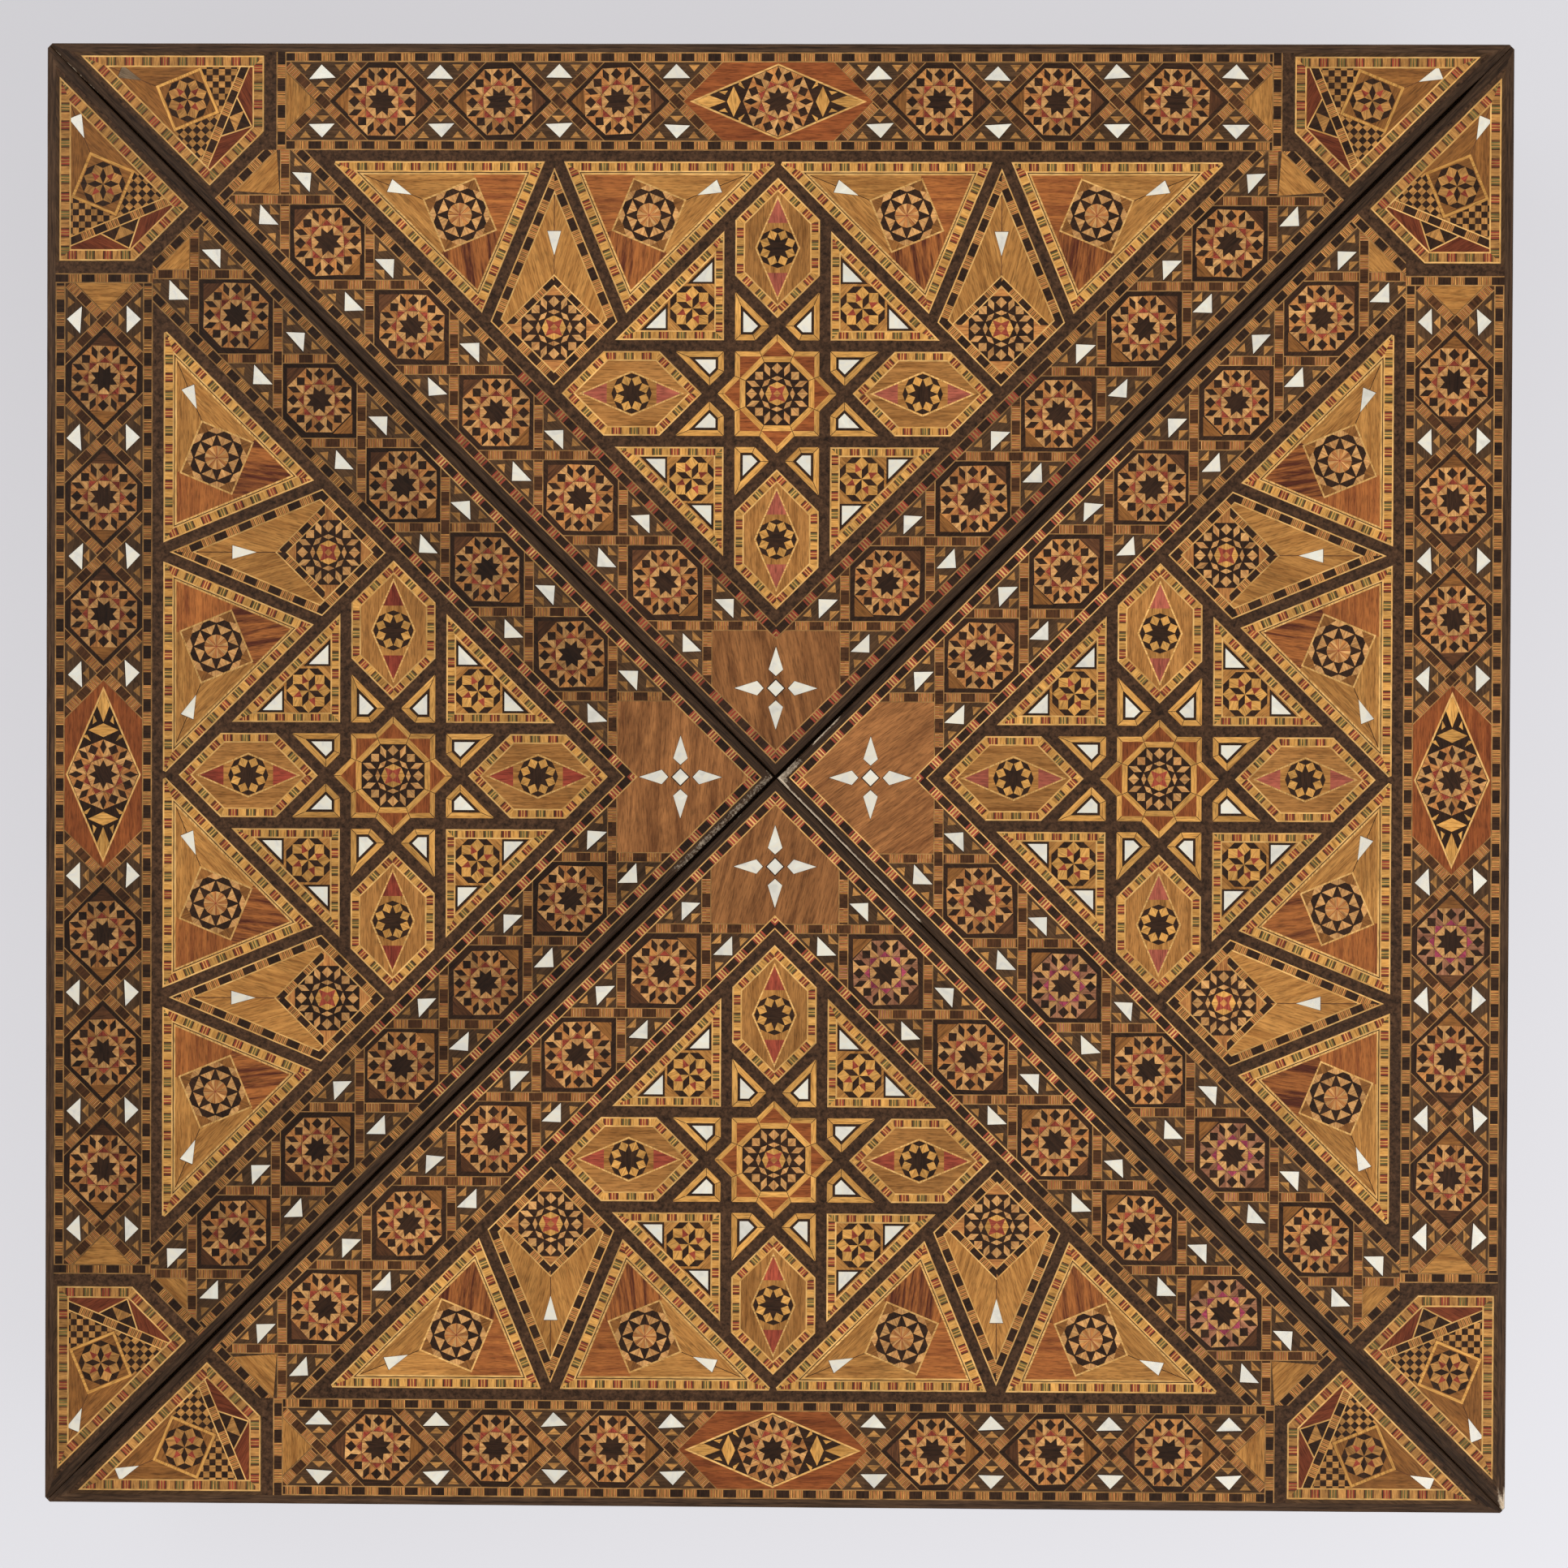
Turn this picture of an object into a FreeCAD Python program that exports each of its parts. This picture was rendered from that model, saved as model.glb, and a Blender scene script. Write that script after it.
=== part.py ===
import FreeCAD, Part
import math
import os

# A square marquetry box whose top is four triangular leaves.
# Each leaf covers one triangular compartment, overhangs the case and is hinged under its outer edge.
# Millimetres, +Z up, origin at the middle of the underside.

# Case
side = 500.0
rim_height = 96.0
overhang = 5.0
wall_thickness = 14.0
corner_radius = 3.0
felt_thickness = 1.5
felt_margin = 4.0
floor_thickness = 7.0
floor_rebate = 6.0
divider_thickness = 9.0
lining_thickness = 1.2
lining_margin = 0.5
spline_thickness = 3.0
spline_width = 8.0
spline_end_margin = 9.0
band_edge_margin = 13.0
band_end_margin = 15.0
band_depth = 2.0

# Leaves
leaf_thickness = 13.6
leaf_gap = 0.4
seam_gap = 1.0
inlay_thickness = 2.0
lip_outer = 3.0
lip_seam = 3.3
lip_round = 1.0
lip_bevel = 4.6
leaf_lining_thickness = 1.0
leaf_lining_outer_margin = 18.0
leaf_lining_seam_margin = 9.0

# Marquetry layout of one leaf
strip_width = 33.4
stringing = 3.8
corner_margin = 0.9
corner_step = 0.75
tip_half_width = 24.6
kite_drop = 2.1
panel_tip_cut = 1.3
star_line = 16.3
dart_width = 4.6
dart_length = 8.0
corner_dart_start = 17.4
panel_dart_start = 21.6
kite_dart_start = 24.5
kite_dart_width = 4.0
kite_dart_length = 5.8
star_kite_border = 2.8
petal_tip = 14.1
petal_shoulder = 6.4
petal_root = 4.2
petal_half_width = 2.45
petal_middle = 2.8
petal_from_tip = 25.8

# Hinges
hinge_place = 150.0
knuckle_radius = 2.4
knuckle_length = 12.0
knuckle_gap = 0.3
pin_radius = 1.1
pin_clearance = 0.3
barrel_clearance = 0.3
plate_thickness = 1.4
plate_depth = 10.0

# Worked-out values
half = side / 2
case_half = half - overhang
inner_half = case_half - wall_thickness
root_two = math.sqrt(2)
eighth = math.pi / 4
sharp = math.pi / 8
leaf_low = rim_height + leaf_gap
leaf_high = leaf_low + leaf_thickness
inlay_low = leaf_high - inlay_thickness
floor_high = felt_thickness + floor_thickness
axis_height = leaf_low + plate_thickness - knuckle_radius
axis_y = -case_half + plate_thickness - knuckle_radius
up = FreeCAD.Vector(0, 0, 1)
sides = {"front": 0, "right": 90, "back": 180, "left": 270}


def prism(points, low, high):
    """Straight prism over a plan outline."""
    corners = [FreeCAD.Vector(x, y, low) for x, y in points]
    outline = Part.makePolygon(corners + corners[:1])
    return Part.Face(outline).extrude(FreeCAD.Vector(0, 0, high - low))


def block(x_range, y_range, z_range):
    """Box between the given limits."""
    corner = FreeCAD.Vector(x_range[0], y_range[0], z_range[0])
    sizes = [high - low for low, high in (x_range, y_range, z_range)]
    return Part.makeBox(sizes[0], sizes[1], sizes[2], corner)


def rod(radius, start, length):
    """Round bar along X from a start point."""
    return Part.makeCylinder(radius, length, FreeCAD.Vector(*start), FreeCAD.Vector(1, 0, 0))


def rounded_square(half_width, low, high):
    """Square prism with the box's rounded corners."""
    body = block((-half_width, half_width), (-half_width, half_width), (low, high))
    upright = [e for e in body.Edges if abs(e.tangentAt(e.FirstParameter).z) > 0.5]
    return body.makeFillet(corner_radius, upright)


def group(shapes):
    """Several pieces as one group of separate solids."""
    return Part.makeCompound([solid for shape in shapes for solid in shape.Solids])


def turned(shape, degrees):
    """Copy turned about the box's upright axis."""
    copy = shape.copy()
    copy.rotate(FreeCAD.Vector(0, 0, 0), up, degrees)
    return copy


def export(name, shape):
    shape.exportStep("parts/" + name + ".step")


# Plan outlines are lists of (u, v): u along the outer edge, v from it to the leaf's tip
def meet(first, second):
    """Point where two lines (a, b, c), a*u + b*v = c, cross."""
    a, b, c = first
    d, e, f = second
    scale = a * e - b * d
    return ((c * e - b * f) / scale, (a * f - c * d) / scale)


def outline(lines):
    """Corners of the outline whose edges lie on these lines, in order."""
    return [meet(line, after) for line, after in zip(lines, lines[1:] + lines[:1])]


def mirrored(points, axis=0.0):
    """Outline reflected in an upright line of the plan."""
    return [(2 * axis - u, v) for u, v in points]


def placed(points, origin, angle):
    """Local points turned by an angle and moved to an origin."""
    c = math.cos(angle)
    s = math.sin(angle)
    return [(origin[0] + x * c - y * s, origin[1] + x * s + y * c) for x, y in points]


def inlay(points, low=inlay_low, high=leaf_high):
    """Piece of the marquetry layer of the front leaf."""
    return prism([(u, v - half) for u, v in points], low, high)


def level(v):
    return (0.0, 1.0, v)


def upright(u):
    return (1.0, 0.0, u)


def beside_left_seam(distance):
    """Line that lies this far inside the left seam."""
    return (-1.0, 1.0, half - distance * root_two)


def beside_right_seam(distance):
    return (1.0, 1.0, half - distance * root_two)


# Lines that the windows share
strip_inside = lip_seam + strip_width
inner_inside = strip_inside + stringing
strip_high = lip_outer + strip_width
inner_top = strip_high + stringing
inner_tip = beside_left_seam(inner_inside)[2]
star_top = inner_top + stringing * root_two
star_middle = (star_top + inner_tip) / 2
star_reach = (inner_tip - star_top) / 2
diagonal_middle = beside_left_seam(lip_seam + strip_width / 2)[2]
tip_top = diagonal_middle - tip_half_width
corner_apex = meet(level(lip_outer), beside_left_seam(lip_seam + corner_margin))
corner_leg = (strip_width - stringing * root_two - corner_step) / (root_two - 1)
corner_end = corner_apex[0] + corner_apex[1] + corner_leg * root_two
strip_half_length = -corner_apex[0] - corner_leg - stringing
diagonal_start = corner_end + stringing * root_two
panel_apex = meet(level(inner_top), beside_left_seam(inner_inside))
kite_axis = panel_apex[0] / 2
panel_base = (kite_axis - panel_apex[0]) * math.cos(sharp) + kite_drop * math.sin(sharp) - stringing


def across_apex(apex, distance):
    """Line square to a sharp corner's middle line, this far from the corner."""
    a = math.cos(sharp)
    b = math.sin(sharp)
    return (a, b, a * apex[0] + b * apex[1] + distance)


def corner_window():
    """Four-sided compartment in the leaf's left corner."""
    far = corner_apex[0] + corner_leg
    slope = (1.0, 1.0, corner_end)
    lip = beside_left_seam(lip_seam + corner_margin)
    return outline([lip, level(lip_outer), upright(far), slope])


def outer_strip_window():
    """Strip of star medallions along the outer edge."""
    run = strip_half_length
    return outline([level(lip_outer), upright(run), level(strip_high), upright(-run)])


def diagonal_strip_window():
    """Strip beside the left seam, from the corner compartment to the tip field."""
    return outline([
        beside_left_seam(lip_seam),
        (1.0, 1.0, diagonal_start),
        level(strip_high),
        beside_left_seam(strip_inside),
        level(tip_top),
        upright(-tip_half_width),
    ])


def tip_window():
    """Plain field at the leaf's tip."""
    return outline([
        beside_left_seam(lip_seam),
        upright(-tip_half_width),
        level(tip_top),
        beside_left_seam(strip_inside),
        beside_right_seam(strip_inside),
        level(tip_top),
        upright(tip_half_width),
        beside_right_seam(lip_seam),
    ])


def panel_window():
    """Sharp triangular panel at the left end of the inner triangle, its tip cut blunt."""
    base = across_apex(panel_apex, panel_base)
    tip = across_apex(panel_apex, panel_tip_cut)
    return outline([level(inner_top), base, beside_left_seam(inner_inside), tip])


def kite_window():
    """Kite between two panels, with its point towards the outer edge."""
    left = across_apex(panel_apex, panel_base + stringing)
    right = (-left[0], left[1], left[2] - 2 * kite_axis * left[0])
    lower_right = (1.0, 1.0, inner_top)
    return outline([left, right, lower_right, beside_left_seam(inner_inside)])


def star_windows():
    """Windows of the star diamond about its own middle: hexagon, triangle, kite and star."""
    near = star_line - stringing / 2
    far = star_line + stringing / 2
    rim_left = (-1.0, -1.0, star_reach)
    rim_right = (1.0, -1.0, star_reach)
    slope_left = (-1.0, -1.0, far * root_two)
    slope_right = (1.0, -1.0, far * root_two)
    hexagon = outline([upright(-near), rim_left, rim_right, upright(near), slope_left, slope_right])
    triangle = outline([upright(-far), level(-far), rim_left])
    kite = outline([upright(-near), level(-far), slope_left, (1.0, -1.0, near * root_two)])
    star = []
    for k in range(8):
        point = k * eighth
        notch = point + sharp
        reach = near * root_two
        dip = near / math.cos(sharp)
        star.append((reach * math.cos(point), reach * math.sin(point)))
        star.append((dip * math.cos(notch), dip * math.sin(notch)))
    return hexagon, triangle, kite, star


def inset(points, margin):
    """Outline with every edge moved inwards by the margin."""
    area = sum(a[0] * b[1] - b[0] * a[1] for a, b in zip(points, points[1:] + points[:1]))
    sense = math.copysign(1, area)
    moved = []
    for start, end in zip(points, points[1:] + points[:1]):
        length = math.hypot(end[0] - start[0], end[1] - start[1])
        a = -sense * (end[1] - start[1]) / length
        b = sense * (end[0] - start[0]) / length
        moved.append((a, b, a * start[0] + b * start[1] + margin))
    return outline(moved)


def quarters(points):
    """Outline in each quarter of the star diamond."""
    return [placed(points, (0, star_middle), k * math.pi / 2) for k in range(4)]


def dart(start, width, length):
    """Slim pearl triangle along the local axis, pointing away from the start."""
    return [(start, -width / 2), (start, width / 2), (start + length, 0)]


def pearl_outlines():
    """Mother-of-pearl pieces of a leaf, by the group of windows that holds them."""
    petal = [
        (petal_root, 0),
        (petal_shoulder, petal_half_width),
        (petal_tip, 0),
        (petal_shoulder, -petal_half_width),
    ]
    flower = (0, beside_left_seam(lip_seam)[2] - petal_from_tip)
    diamond = [(petal_middle, 0), (0, petal_middle), (-petal_middle, 0), (0, -petal_middle)]
    in_strips = [placed(petal, flower, k * math.pi / 2) for k in range(4)] + [placed(diamond, flower, 0)]

    corner = placed(dart(corner_dart_start, dart_width, dart_length), corner_apex, sharp)
    panel = placed(dart(panel_dart_start, dart_width, dart_length), panel_apex, sharp)
    kite_origin = (kite_axis, inner_top)
    kite = placed(dart(kite_dart_start, kite_dart_width, kite_dart_length), kite_origin, math.pi / 2)
    left = [corner, panel, mirrored(panel, kite_axis), kite]
    in_panels = left + [mirrored(p) for p in left]

    star_kite = inset(star_windows()[2], star_kite_border)
    in_star = quarters(star_kite) + quarters(mirrored(star_kite))
    return in_strips, in_panels, in_star


def window_outlines():
    """Windows of the dark stringing, as strips, panels and star."""
    diagonal = diagonal_strip_window()
    strips = [outer_strip_window(), diagonal, mirrored(diagonal), tip_window()]
    panel = panel_window()
    left = [corner_window(), panel, mirrored(panel, kite_axis), kite_window()]
    panels = left + [mirrored(p) for p in left]
    hexagon, triangle, kite, star = star_windows()
    stars = quarters(hexagon) + quarters(triangle) + quarters(kite) + quarters(mirrored(kite))
    return strips, panels, stars + [placed(star, (0, star_middle), 0)]


def marquetry():
    """Stringing, window fillings and pearl of the front leaf."""
    frame = outline([level(lip_outer), beside_right_seam(lip_seam), beside_left_seam(lip_seam)])
    windows = window_outlines()
    pearls = pearl_outlines()
    openings = group([inlay(points) for part in windows for points in part])
    pieces = {"stringing": inlay(frame).cut(openings)}
    for name, part, shells in zip(("strips", "panels", "star"), windows, pearls):
        cutters = group([inlay(points) for points in shells])
        pieces[name] = group([inlay(points).cut(cutters) for points in part])
    pieces["pearl"] = group([inlay(points) for part in pearls for points in part])
    return pieces


# Hinges of the front side
barrel_length = 3 * knuckle_length + 2 * knuckle_gap
hinge_starts = [place - barrel_length / 2 for place in (-hinge_place, hinge_place)]


def knuckle(start, index):
    """One round knuckle of the barrel."""
    x = start + index * (knuckle_length + knuckle_gap)
    return rod(knuckle_radius, (x, axis_y, axis_height), knuckle_length)


def barrel_rod(start, radius):
    """Round bar through the whole barrel."""
    return rod(radius, (start, axis_y, axis_height), barrel_length)


def room_round_barrel(first, last):
    """Square room for the barrel between two places along it."""
    reach = knuckle_radius + barrel_clearance
    y_range = (axis_y - reach, axis_y + reach)
    z_range = (axis_height - reach, axis_height + reach)
    return block((first - knuckle_gap, last + knuckle_gap), y_range, z_range)


def knuckle_notch(start, index):
    """Room in one plate for a knuckle of the other."""
    x = start + index * (knuckle_length + knuckle_gap)
    return room_round_barrel(x, x + knuckle_length)


def wall_flap(start):
    """Flat of the wall plate, upright in the wall's face."""
    y_range = (-case_half, -case_half + plate_thickness)
    return block((start, start + barrel_length), y_range, (axis_height - plate_depth, axis_height))


def leaf_flap(start):
    """Flat of the leaf plate, level in the leaf's underside."""
    y_range = (axis_y, axis_y + plate_depth)
    return block((start, start + barrel_length), y_range, (leaf_low, leaf_low + plate_thickness))


def wall_plate(start):
    """Wall plate with the two end knuckles and the pin that is riveted into them."""
    plate = wall_flap(start).cut(knuckle_notch(start, 1))
    return plate.fuse([knuckle(start, 0), knuckle(start, 2), barrel_rod(start, pin_radius)]).removeSplitter()


def leaf_plate(start):
    """Leaf plate with the middle knuckle, which turns on the pin."""
    plate = leaf_flap(start).cut([knuckle_notch(start, 0), knuckle_notch(start, 2)])
    plate = plate.fuse(knuckle(start, 1))
    return plate.cut(barrel_rod(start, pin_radius + pin_clearance)).removeSplitter()


def hinge_gains(flap):
    """Seats of both hinges' flaps on one side, with room for their barrels."""
    rooms = [room_round_barrel(s, s + barrel_length) for s in hinge_starts]
    return rooms + [flap(s) for s in hinge_starts]


# Leaf of the front side
def leaf_lips():
    """Dark lipping: a strip along each seam and one, bevelled below to swing clear, on the outer edge."""
    low_outer = FreeCAD.Vector(-half, -half, leaf_low + lip_bevel)
    high_outer = FreeCAD.Vector(-half, -half, leaf_high - lip_round)
    bend = lip_round * (1 - 1 / root_two)
    round_middle = FreeCAD.Vector(-half, -half + bend, leaf_high - bend)
    top_outer = FreeCAD.Vector(-half, -half + lip_round, leaf_high)
    top_inner = FreeCAD.Vector(-half, -half + lip_outer, leaf_high)
    low_inner = FreeCAD.Vector(-half, -half + lip_outer, leaf_low)
    edges = [
        Part.makeLine(low_outer, high_outer),
        Part.Arc(high_outer, round_middle, top_outer).toShape(),
        Part.makeLine(top_outer, top_inner),
        Part.makeLine(top_inner, low_inner),
        Part.makeLine(low_inner, low_outer),
    ]
    bar = Part.Face(Part.Wire(edges)).extrude(FreeCAD.Vector(side, 0, 0))
    edge = seam_gap / 2
    leaf = outline([level(0), beside_right_seam(edge), beside_left_seam(edge)])
    bar = bar.common(inlay(leaf, leaf_low, leaf_high))
    seam_lip = outline([
        level(lip_outer),
        beside_left_seam(lip_seam),
        upright(0),
        beside_left_seam(edge),
    ])
    left = inlay(seam_lip, leaf_low, leaf_high)
    right = inlay(mirrored(seam_lip), leaf_low, leaf_high)
    plan = rounded_square(half, leaf_low, leaf_high)
    return group([lip.common(plan).cut(hinge_gains(leaf_flap)) for lip in (bar, left, right)])


def leaf_lining():
    """Thin lining let into the leaf's underside."""
    margin = leaf_lining_seam_margin
    plan = outline([
        level(leaf_lining_outer_margin),
        beside_right_seam(margin),
        beside_left_seam(margin),
    ])
    return inlay(plan, leaf_low, leaf_low + leaf_lining_thickness)


def leaf_core():
    """Board that carries the marquetry, the lipping and the hinge plates."""
    plan = outline([level(lip_outer), beside_right_seam(lip_seam), beside_left_seam(lip_seam)])
    board = inlay(plan, leaf_low, inlay_low)
    return board.cut(hinge_gains(leaf_flap) + [leaf_lining()])


# Case
def wall():
    """Front wall, mitred at both ends."""
    outer = case_half
    inner = inner_half
    plan = [(-outer, -outer), (outer, -outer), (inner, -inner), (-inner, -inner)]
    board = prism(plan, felt_thickness, rim_height)
    board = board.common(rounded_square(case_half, felt_thickness, rim_height))
    cuts = hinge_gains(wall_flap) + [floor_panel(), side_band()]
    return board.cut(cuts + [spline(k * 90) for k in range(4)])


def side_band():
    """Marquetry band let into the front wall's face."""
    run = case_half - band_end_margin
    low = felt_thickness + band_edge_margin
    return block((-run, run), (-case_half, -case_half + band_depth), (low, rim_height - band_edge_margin))


def spline(degrees):
    """Loose tongue across the mitre of one corner."""
    middle = inner_half + wall_thickness / 2
    long_way = spline_width / 2
    thin_way = spline_thickness / 2
    plan = [(-thin_way, -long_way), (thin_way, -long_way), (thin_way, long_way), (-thin_way, long_way)]
    low = floor_high + spline_end_margin
    tongue = prism(placed(plan, (middle, middle), eighth), low, rim_height - spline_end_margin)
    return turned(tongue, degrees)


def floor_panel():
    """Bottom board, held in a rebate of the walls."""
    reach = inner_half + floor_rebate
    return block((-reach, reach), (-reach, reach), (felt_thickness, floor_high))


def divider_bar(angle, low, high):
    """Full diagonal bar, pointed to fit the corners of the case."""
    reach = side
    width = divider_thickness / 2
    plan = placed([(-reach, -width), (reach, -width), (reach, width), (-reach, width)], (0, 0), angle)
    room = block((-inner_half, inner_half), (-inner_half, inner_half), (low, high))
    return prism(plan, low, high).common(room)


def dividers():
    """Two crossing boards, halved into each other at the middle."""
    middle = (floor_high + rim_height) / 2
    lower = divider_bar(eighth, floor_high, rim_height).cut(divider_bar(-eighth, middle, rim_height))
    upper = divider_bar(-eighth, floor_high, rim_height).cut(divider_bar(eighth, floor_high, middle))
    return lower, upper


def compartment_lining():
    """Lining on the floor of the front compartment."""
    margin = divider_thickness / 2 + lining_margin
    plan = outline([
        level(overhang + wall_thickness + lining_margin),
        beside_right_seam(margin),
        beside_left_seam(margin),
    ])
    return inlay(plan, floor_high, floor_high + lining_thickness)


os.makedirs("parts", exist_ok=True)

front_leaf = marquetry()
front_leaf["core"] = leaf_core()
front_leaf["lips"] = leaf_lips()
front_leaf["lining"] = leaf_lining()
front_leaf["hinge_plates"] = group([leaf_plate(s) for s in hinge_starts])

front_case = {
    "wall": wall(),
    "side_band": side_band(),
    "compartment_lining": compartment_lining(),
    "hinge_wall_plates": group([wall_plate(s) for s in hinge_starts]),
}

for side_name, degrees in sides.items():
    for piece, shape in front_leaf.items():
        export("leaf_" + side_name + "_" + piece, turned(shape, degrees))
    for piece, shape in front_case.items():
        export(piece + "_" + side_name, turned(shape, degrees))

export("mitre_splines", group([spline(degrees) for degrees in sides.values()]))
export("floor_panel", floor_panel())
export("base_felt", rounded_square(case_half - felt_margin, 0, felt_thickness))
divider_lower, divider_upper = dividers()
export("divider_lower", divider_lower)
export("divider_upper", divider_upper)
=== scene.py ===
import math
import random
import bmesh
import bpy
import numpy as np
from mathutils import Matrix, Vector
from mathutils.geometry import delaunay_2d_cdt


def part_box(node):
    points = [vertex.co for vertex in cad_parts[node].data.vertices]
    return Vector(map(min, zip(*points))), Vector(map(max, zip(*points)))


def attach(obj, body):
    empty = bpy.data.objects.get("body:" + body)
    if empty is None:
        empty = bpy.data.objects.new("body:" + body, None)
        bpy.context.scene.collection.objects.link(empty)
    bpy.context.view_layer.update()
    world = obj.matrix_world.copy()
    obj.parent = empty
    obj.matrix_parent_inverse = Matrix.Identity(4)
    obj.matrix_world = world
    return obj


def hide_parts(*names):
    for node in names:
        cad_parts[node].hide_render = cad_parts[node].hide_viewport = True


# Packed model, in metres, and its box
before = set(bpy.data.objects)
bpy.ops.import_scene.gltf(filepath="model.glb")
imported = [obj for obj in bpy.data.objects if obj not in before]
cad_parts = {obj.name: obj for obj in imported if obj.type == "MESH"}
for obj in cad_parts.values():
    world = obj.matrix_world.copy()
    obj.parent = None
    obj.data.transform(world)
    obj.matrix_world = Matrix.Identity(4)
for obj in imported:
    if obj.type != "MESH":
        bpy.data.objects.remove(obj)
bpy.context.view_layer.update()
mm = 0.001
sides = {"front": 0, "right": 90, "back": 180, "left": 270}

# Heights and reach taken from the model, in millimetres
half = -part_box("leaf_front_lips")[0].y / mm
leaf_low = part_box("leaf_front_lips")[0].z / mm
leaf_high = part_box("leaf_front_lips")[1].z / mm
inlay_thickness = leaf_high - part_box("leaf_front_strips")[0].z / mm
case_half = -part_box("wall_front")[0].y / mm
band_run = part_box("side_band_front")[1].x / mm
band_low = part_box("side_band_front")[0].z / mm
band_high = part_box("side_band_front")[1].z / mm
floor_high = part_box("compartment_lining_front")[0].z / mm

# Marquetry layout of one leaf, in millimetres
lip_outer = 3.0
lip_seam = 3.3
strip_width = 33.4
stringing = 3.8
corner_margin = 0.9
corner_step = 0.75
kite_drop = 2.1
panel_tip_cut = 1.3
star_line = 16.3
ladder_width = 3.4
strip_pitch = 40.33
first_crossing = 34.6
fresh_from = 112.0
lozenge_cut = 31.5
end_point = 2.6
end_spread = 9.8
# Where a seam strip's ground and ladders stop, well outside its window
ground_start = -20
ground_end = 260
ladder_end = 330
root_two = math.sqrt(2)
sharp = 22.5


# Plan geometry: outlines are lists of (u, v), u along the outer edge and v towards the leaf's tip
def polar(radius, degrees):
    angle = math.radians(degrees)
    return (radius * math.cos(angle), radius * math.sin(angle))


def rectangle(left, low, right, high):
    return [(left, low), (right, low), (right, high), (left, high)]


def pairs(points):
    """Each corner with the next one, round the outline."""
    return list(zip(points, points[1:] + points[:1]))


def area_of(points):
    """Area inside an outline; negative where it runs clockwise."""
    return sum(a[0] * b[1] - b[0] * a[1] for a, b in pairs(points)) / 2


def anticlockwise(points):
    return list(points) if area_of(points) > 0 else list(reversed(points))


def meet(first, second):
    """Point where two lines (a, b, c), a*u + b*v = c, cross."""
    a, b, c = first
    d, e, f = second
    scale = a * e - b * d
    return ((c * e - b * f) / scale, (a * f - c * d) / scale)


def outline(lines):
    """Corners of the outline whose edges lie on these lines, in order."""
    return anticlockwise([meet(line, after) for line, after in pairs(lines)])


def inset(points, margin):
    """Anticlockwise outline with every edge moved inwards; corner for corner."""
    lines = []
    for start, end in pairs(points):
        length = math.dist(start, end)
        a = (start[1] - end[1]) / length
        b = (end[0] - start[0]) / length
        lines.append((a, b, a * start[0] + b * start[1] + margin))
    return [meet(before, line) for before, line in zip(lines[-1:] + lines[:-1], lines)]


def clipped(points, window):
    """The part of an outline that lies in an anticlockwise convex window."""
    for (ax, ay), (bx, by) in pairs(window):
        kept = []
        for p, q in pairs(points):
            near = (bx - ax) * (p[1] - ay) - (by - ay) * (p[0] - ax)
            after = (bx - ax) * (q[1] - ay) - (by - ay) * (q[0] - ax)
            if near >= 0:
                kept.append(p)
            if near * after < 0:
                part = near / (near - after)
                kept.append((p[0] + part * (q[0] - p[0]), p[1] + part * (q[1] - p[1])))
        if len(kept) < 3:
            return []
        points = kept
    return points


# Tiles are (outline, wood, grain direction in degrees); in a list, later tiles lie on top
def moved(tiles, origin=(0.0, 0.0), degrees=0.0, scale=1.0):
    """Tiles turned, scaled and moved to an origin."""
    c = math.cos(math.radians(degrees)) * scale
    s = math.sin(math.radians(degrees)) * scale
    made = []
    for points, wood, grain in tiles:
        placed = [(origin[0] + x * c - y * s, origin[1] + x * s + y * c) for x, y in points]
        made.append((placed, wood, grain + degrees))
    return made


def mirrored(tiles, axis=0.0):
    """Tiles reflected in an upright line of the plan."""
    return [([(2 * axis - u, v) for u, v in points], wood, 180 - grain) for points, wood, grain in tiles]


def flipped(tiles):
    """Tiles reflected in the local x axis."""
    return [([(x, -y) for x, y in points], wood, -grain) for points, wood, grain in tiles]


def kept_in(tiles, window):
    """Tiles cut off at a convex window."""
    cut = [(clipped(points, window), wood, grain) for points, wood, grain in tiles]
    return [tile for tile in cut if tile[0]]


def spokes(corners, wood, start=0.0, count=8):
    """One piece repeated round a centre; its corners are (radius, degrees from the spoke)."""
    made = []
    for k in range(count):
        turn = start + k * 360.0 / count
        made.append(([polar(radius, turn + off) for radius, off in corners], wood, turn))
    return made


def set_by_hand(tiles, title, shift, turn):
    """Tiles moved, turned and sized a little unevenly about their own middle, as a hand leaves them."""
    chance = random.Random(title)
    corners = [corner for points, _, _ in tiles for corner in points]
    u, v = [sum(values) / len(corners) for values in zip(*corners)]
    place = (u + chance.uniform(-shift, shift), v + chance.uniform(-shift, shift))
    return moved(moved(tiles, (-u, -v)), place, chance.uniform(-turn, turn), chance.uniform(0.97, 1.03))


def line_tile(start, end, width, wood):
    """Thin straight line of wood between two points."""
    run = math.dist(start, end)
    turn = math.degrees(math.atan2(end[1] - start[1], end[0] - start[0]))
    return moved([(rectangle(0, -width / 2, run, width / 2), wood, 0)], start, turn)


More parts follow.
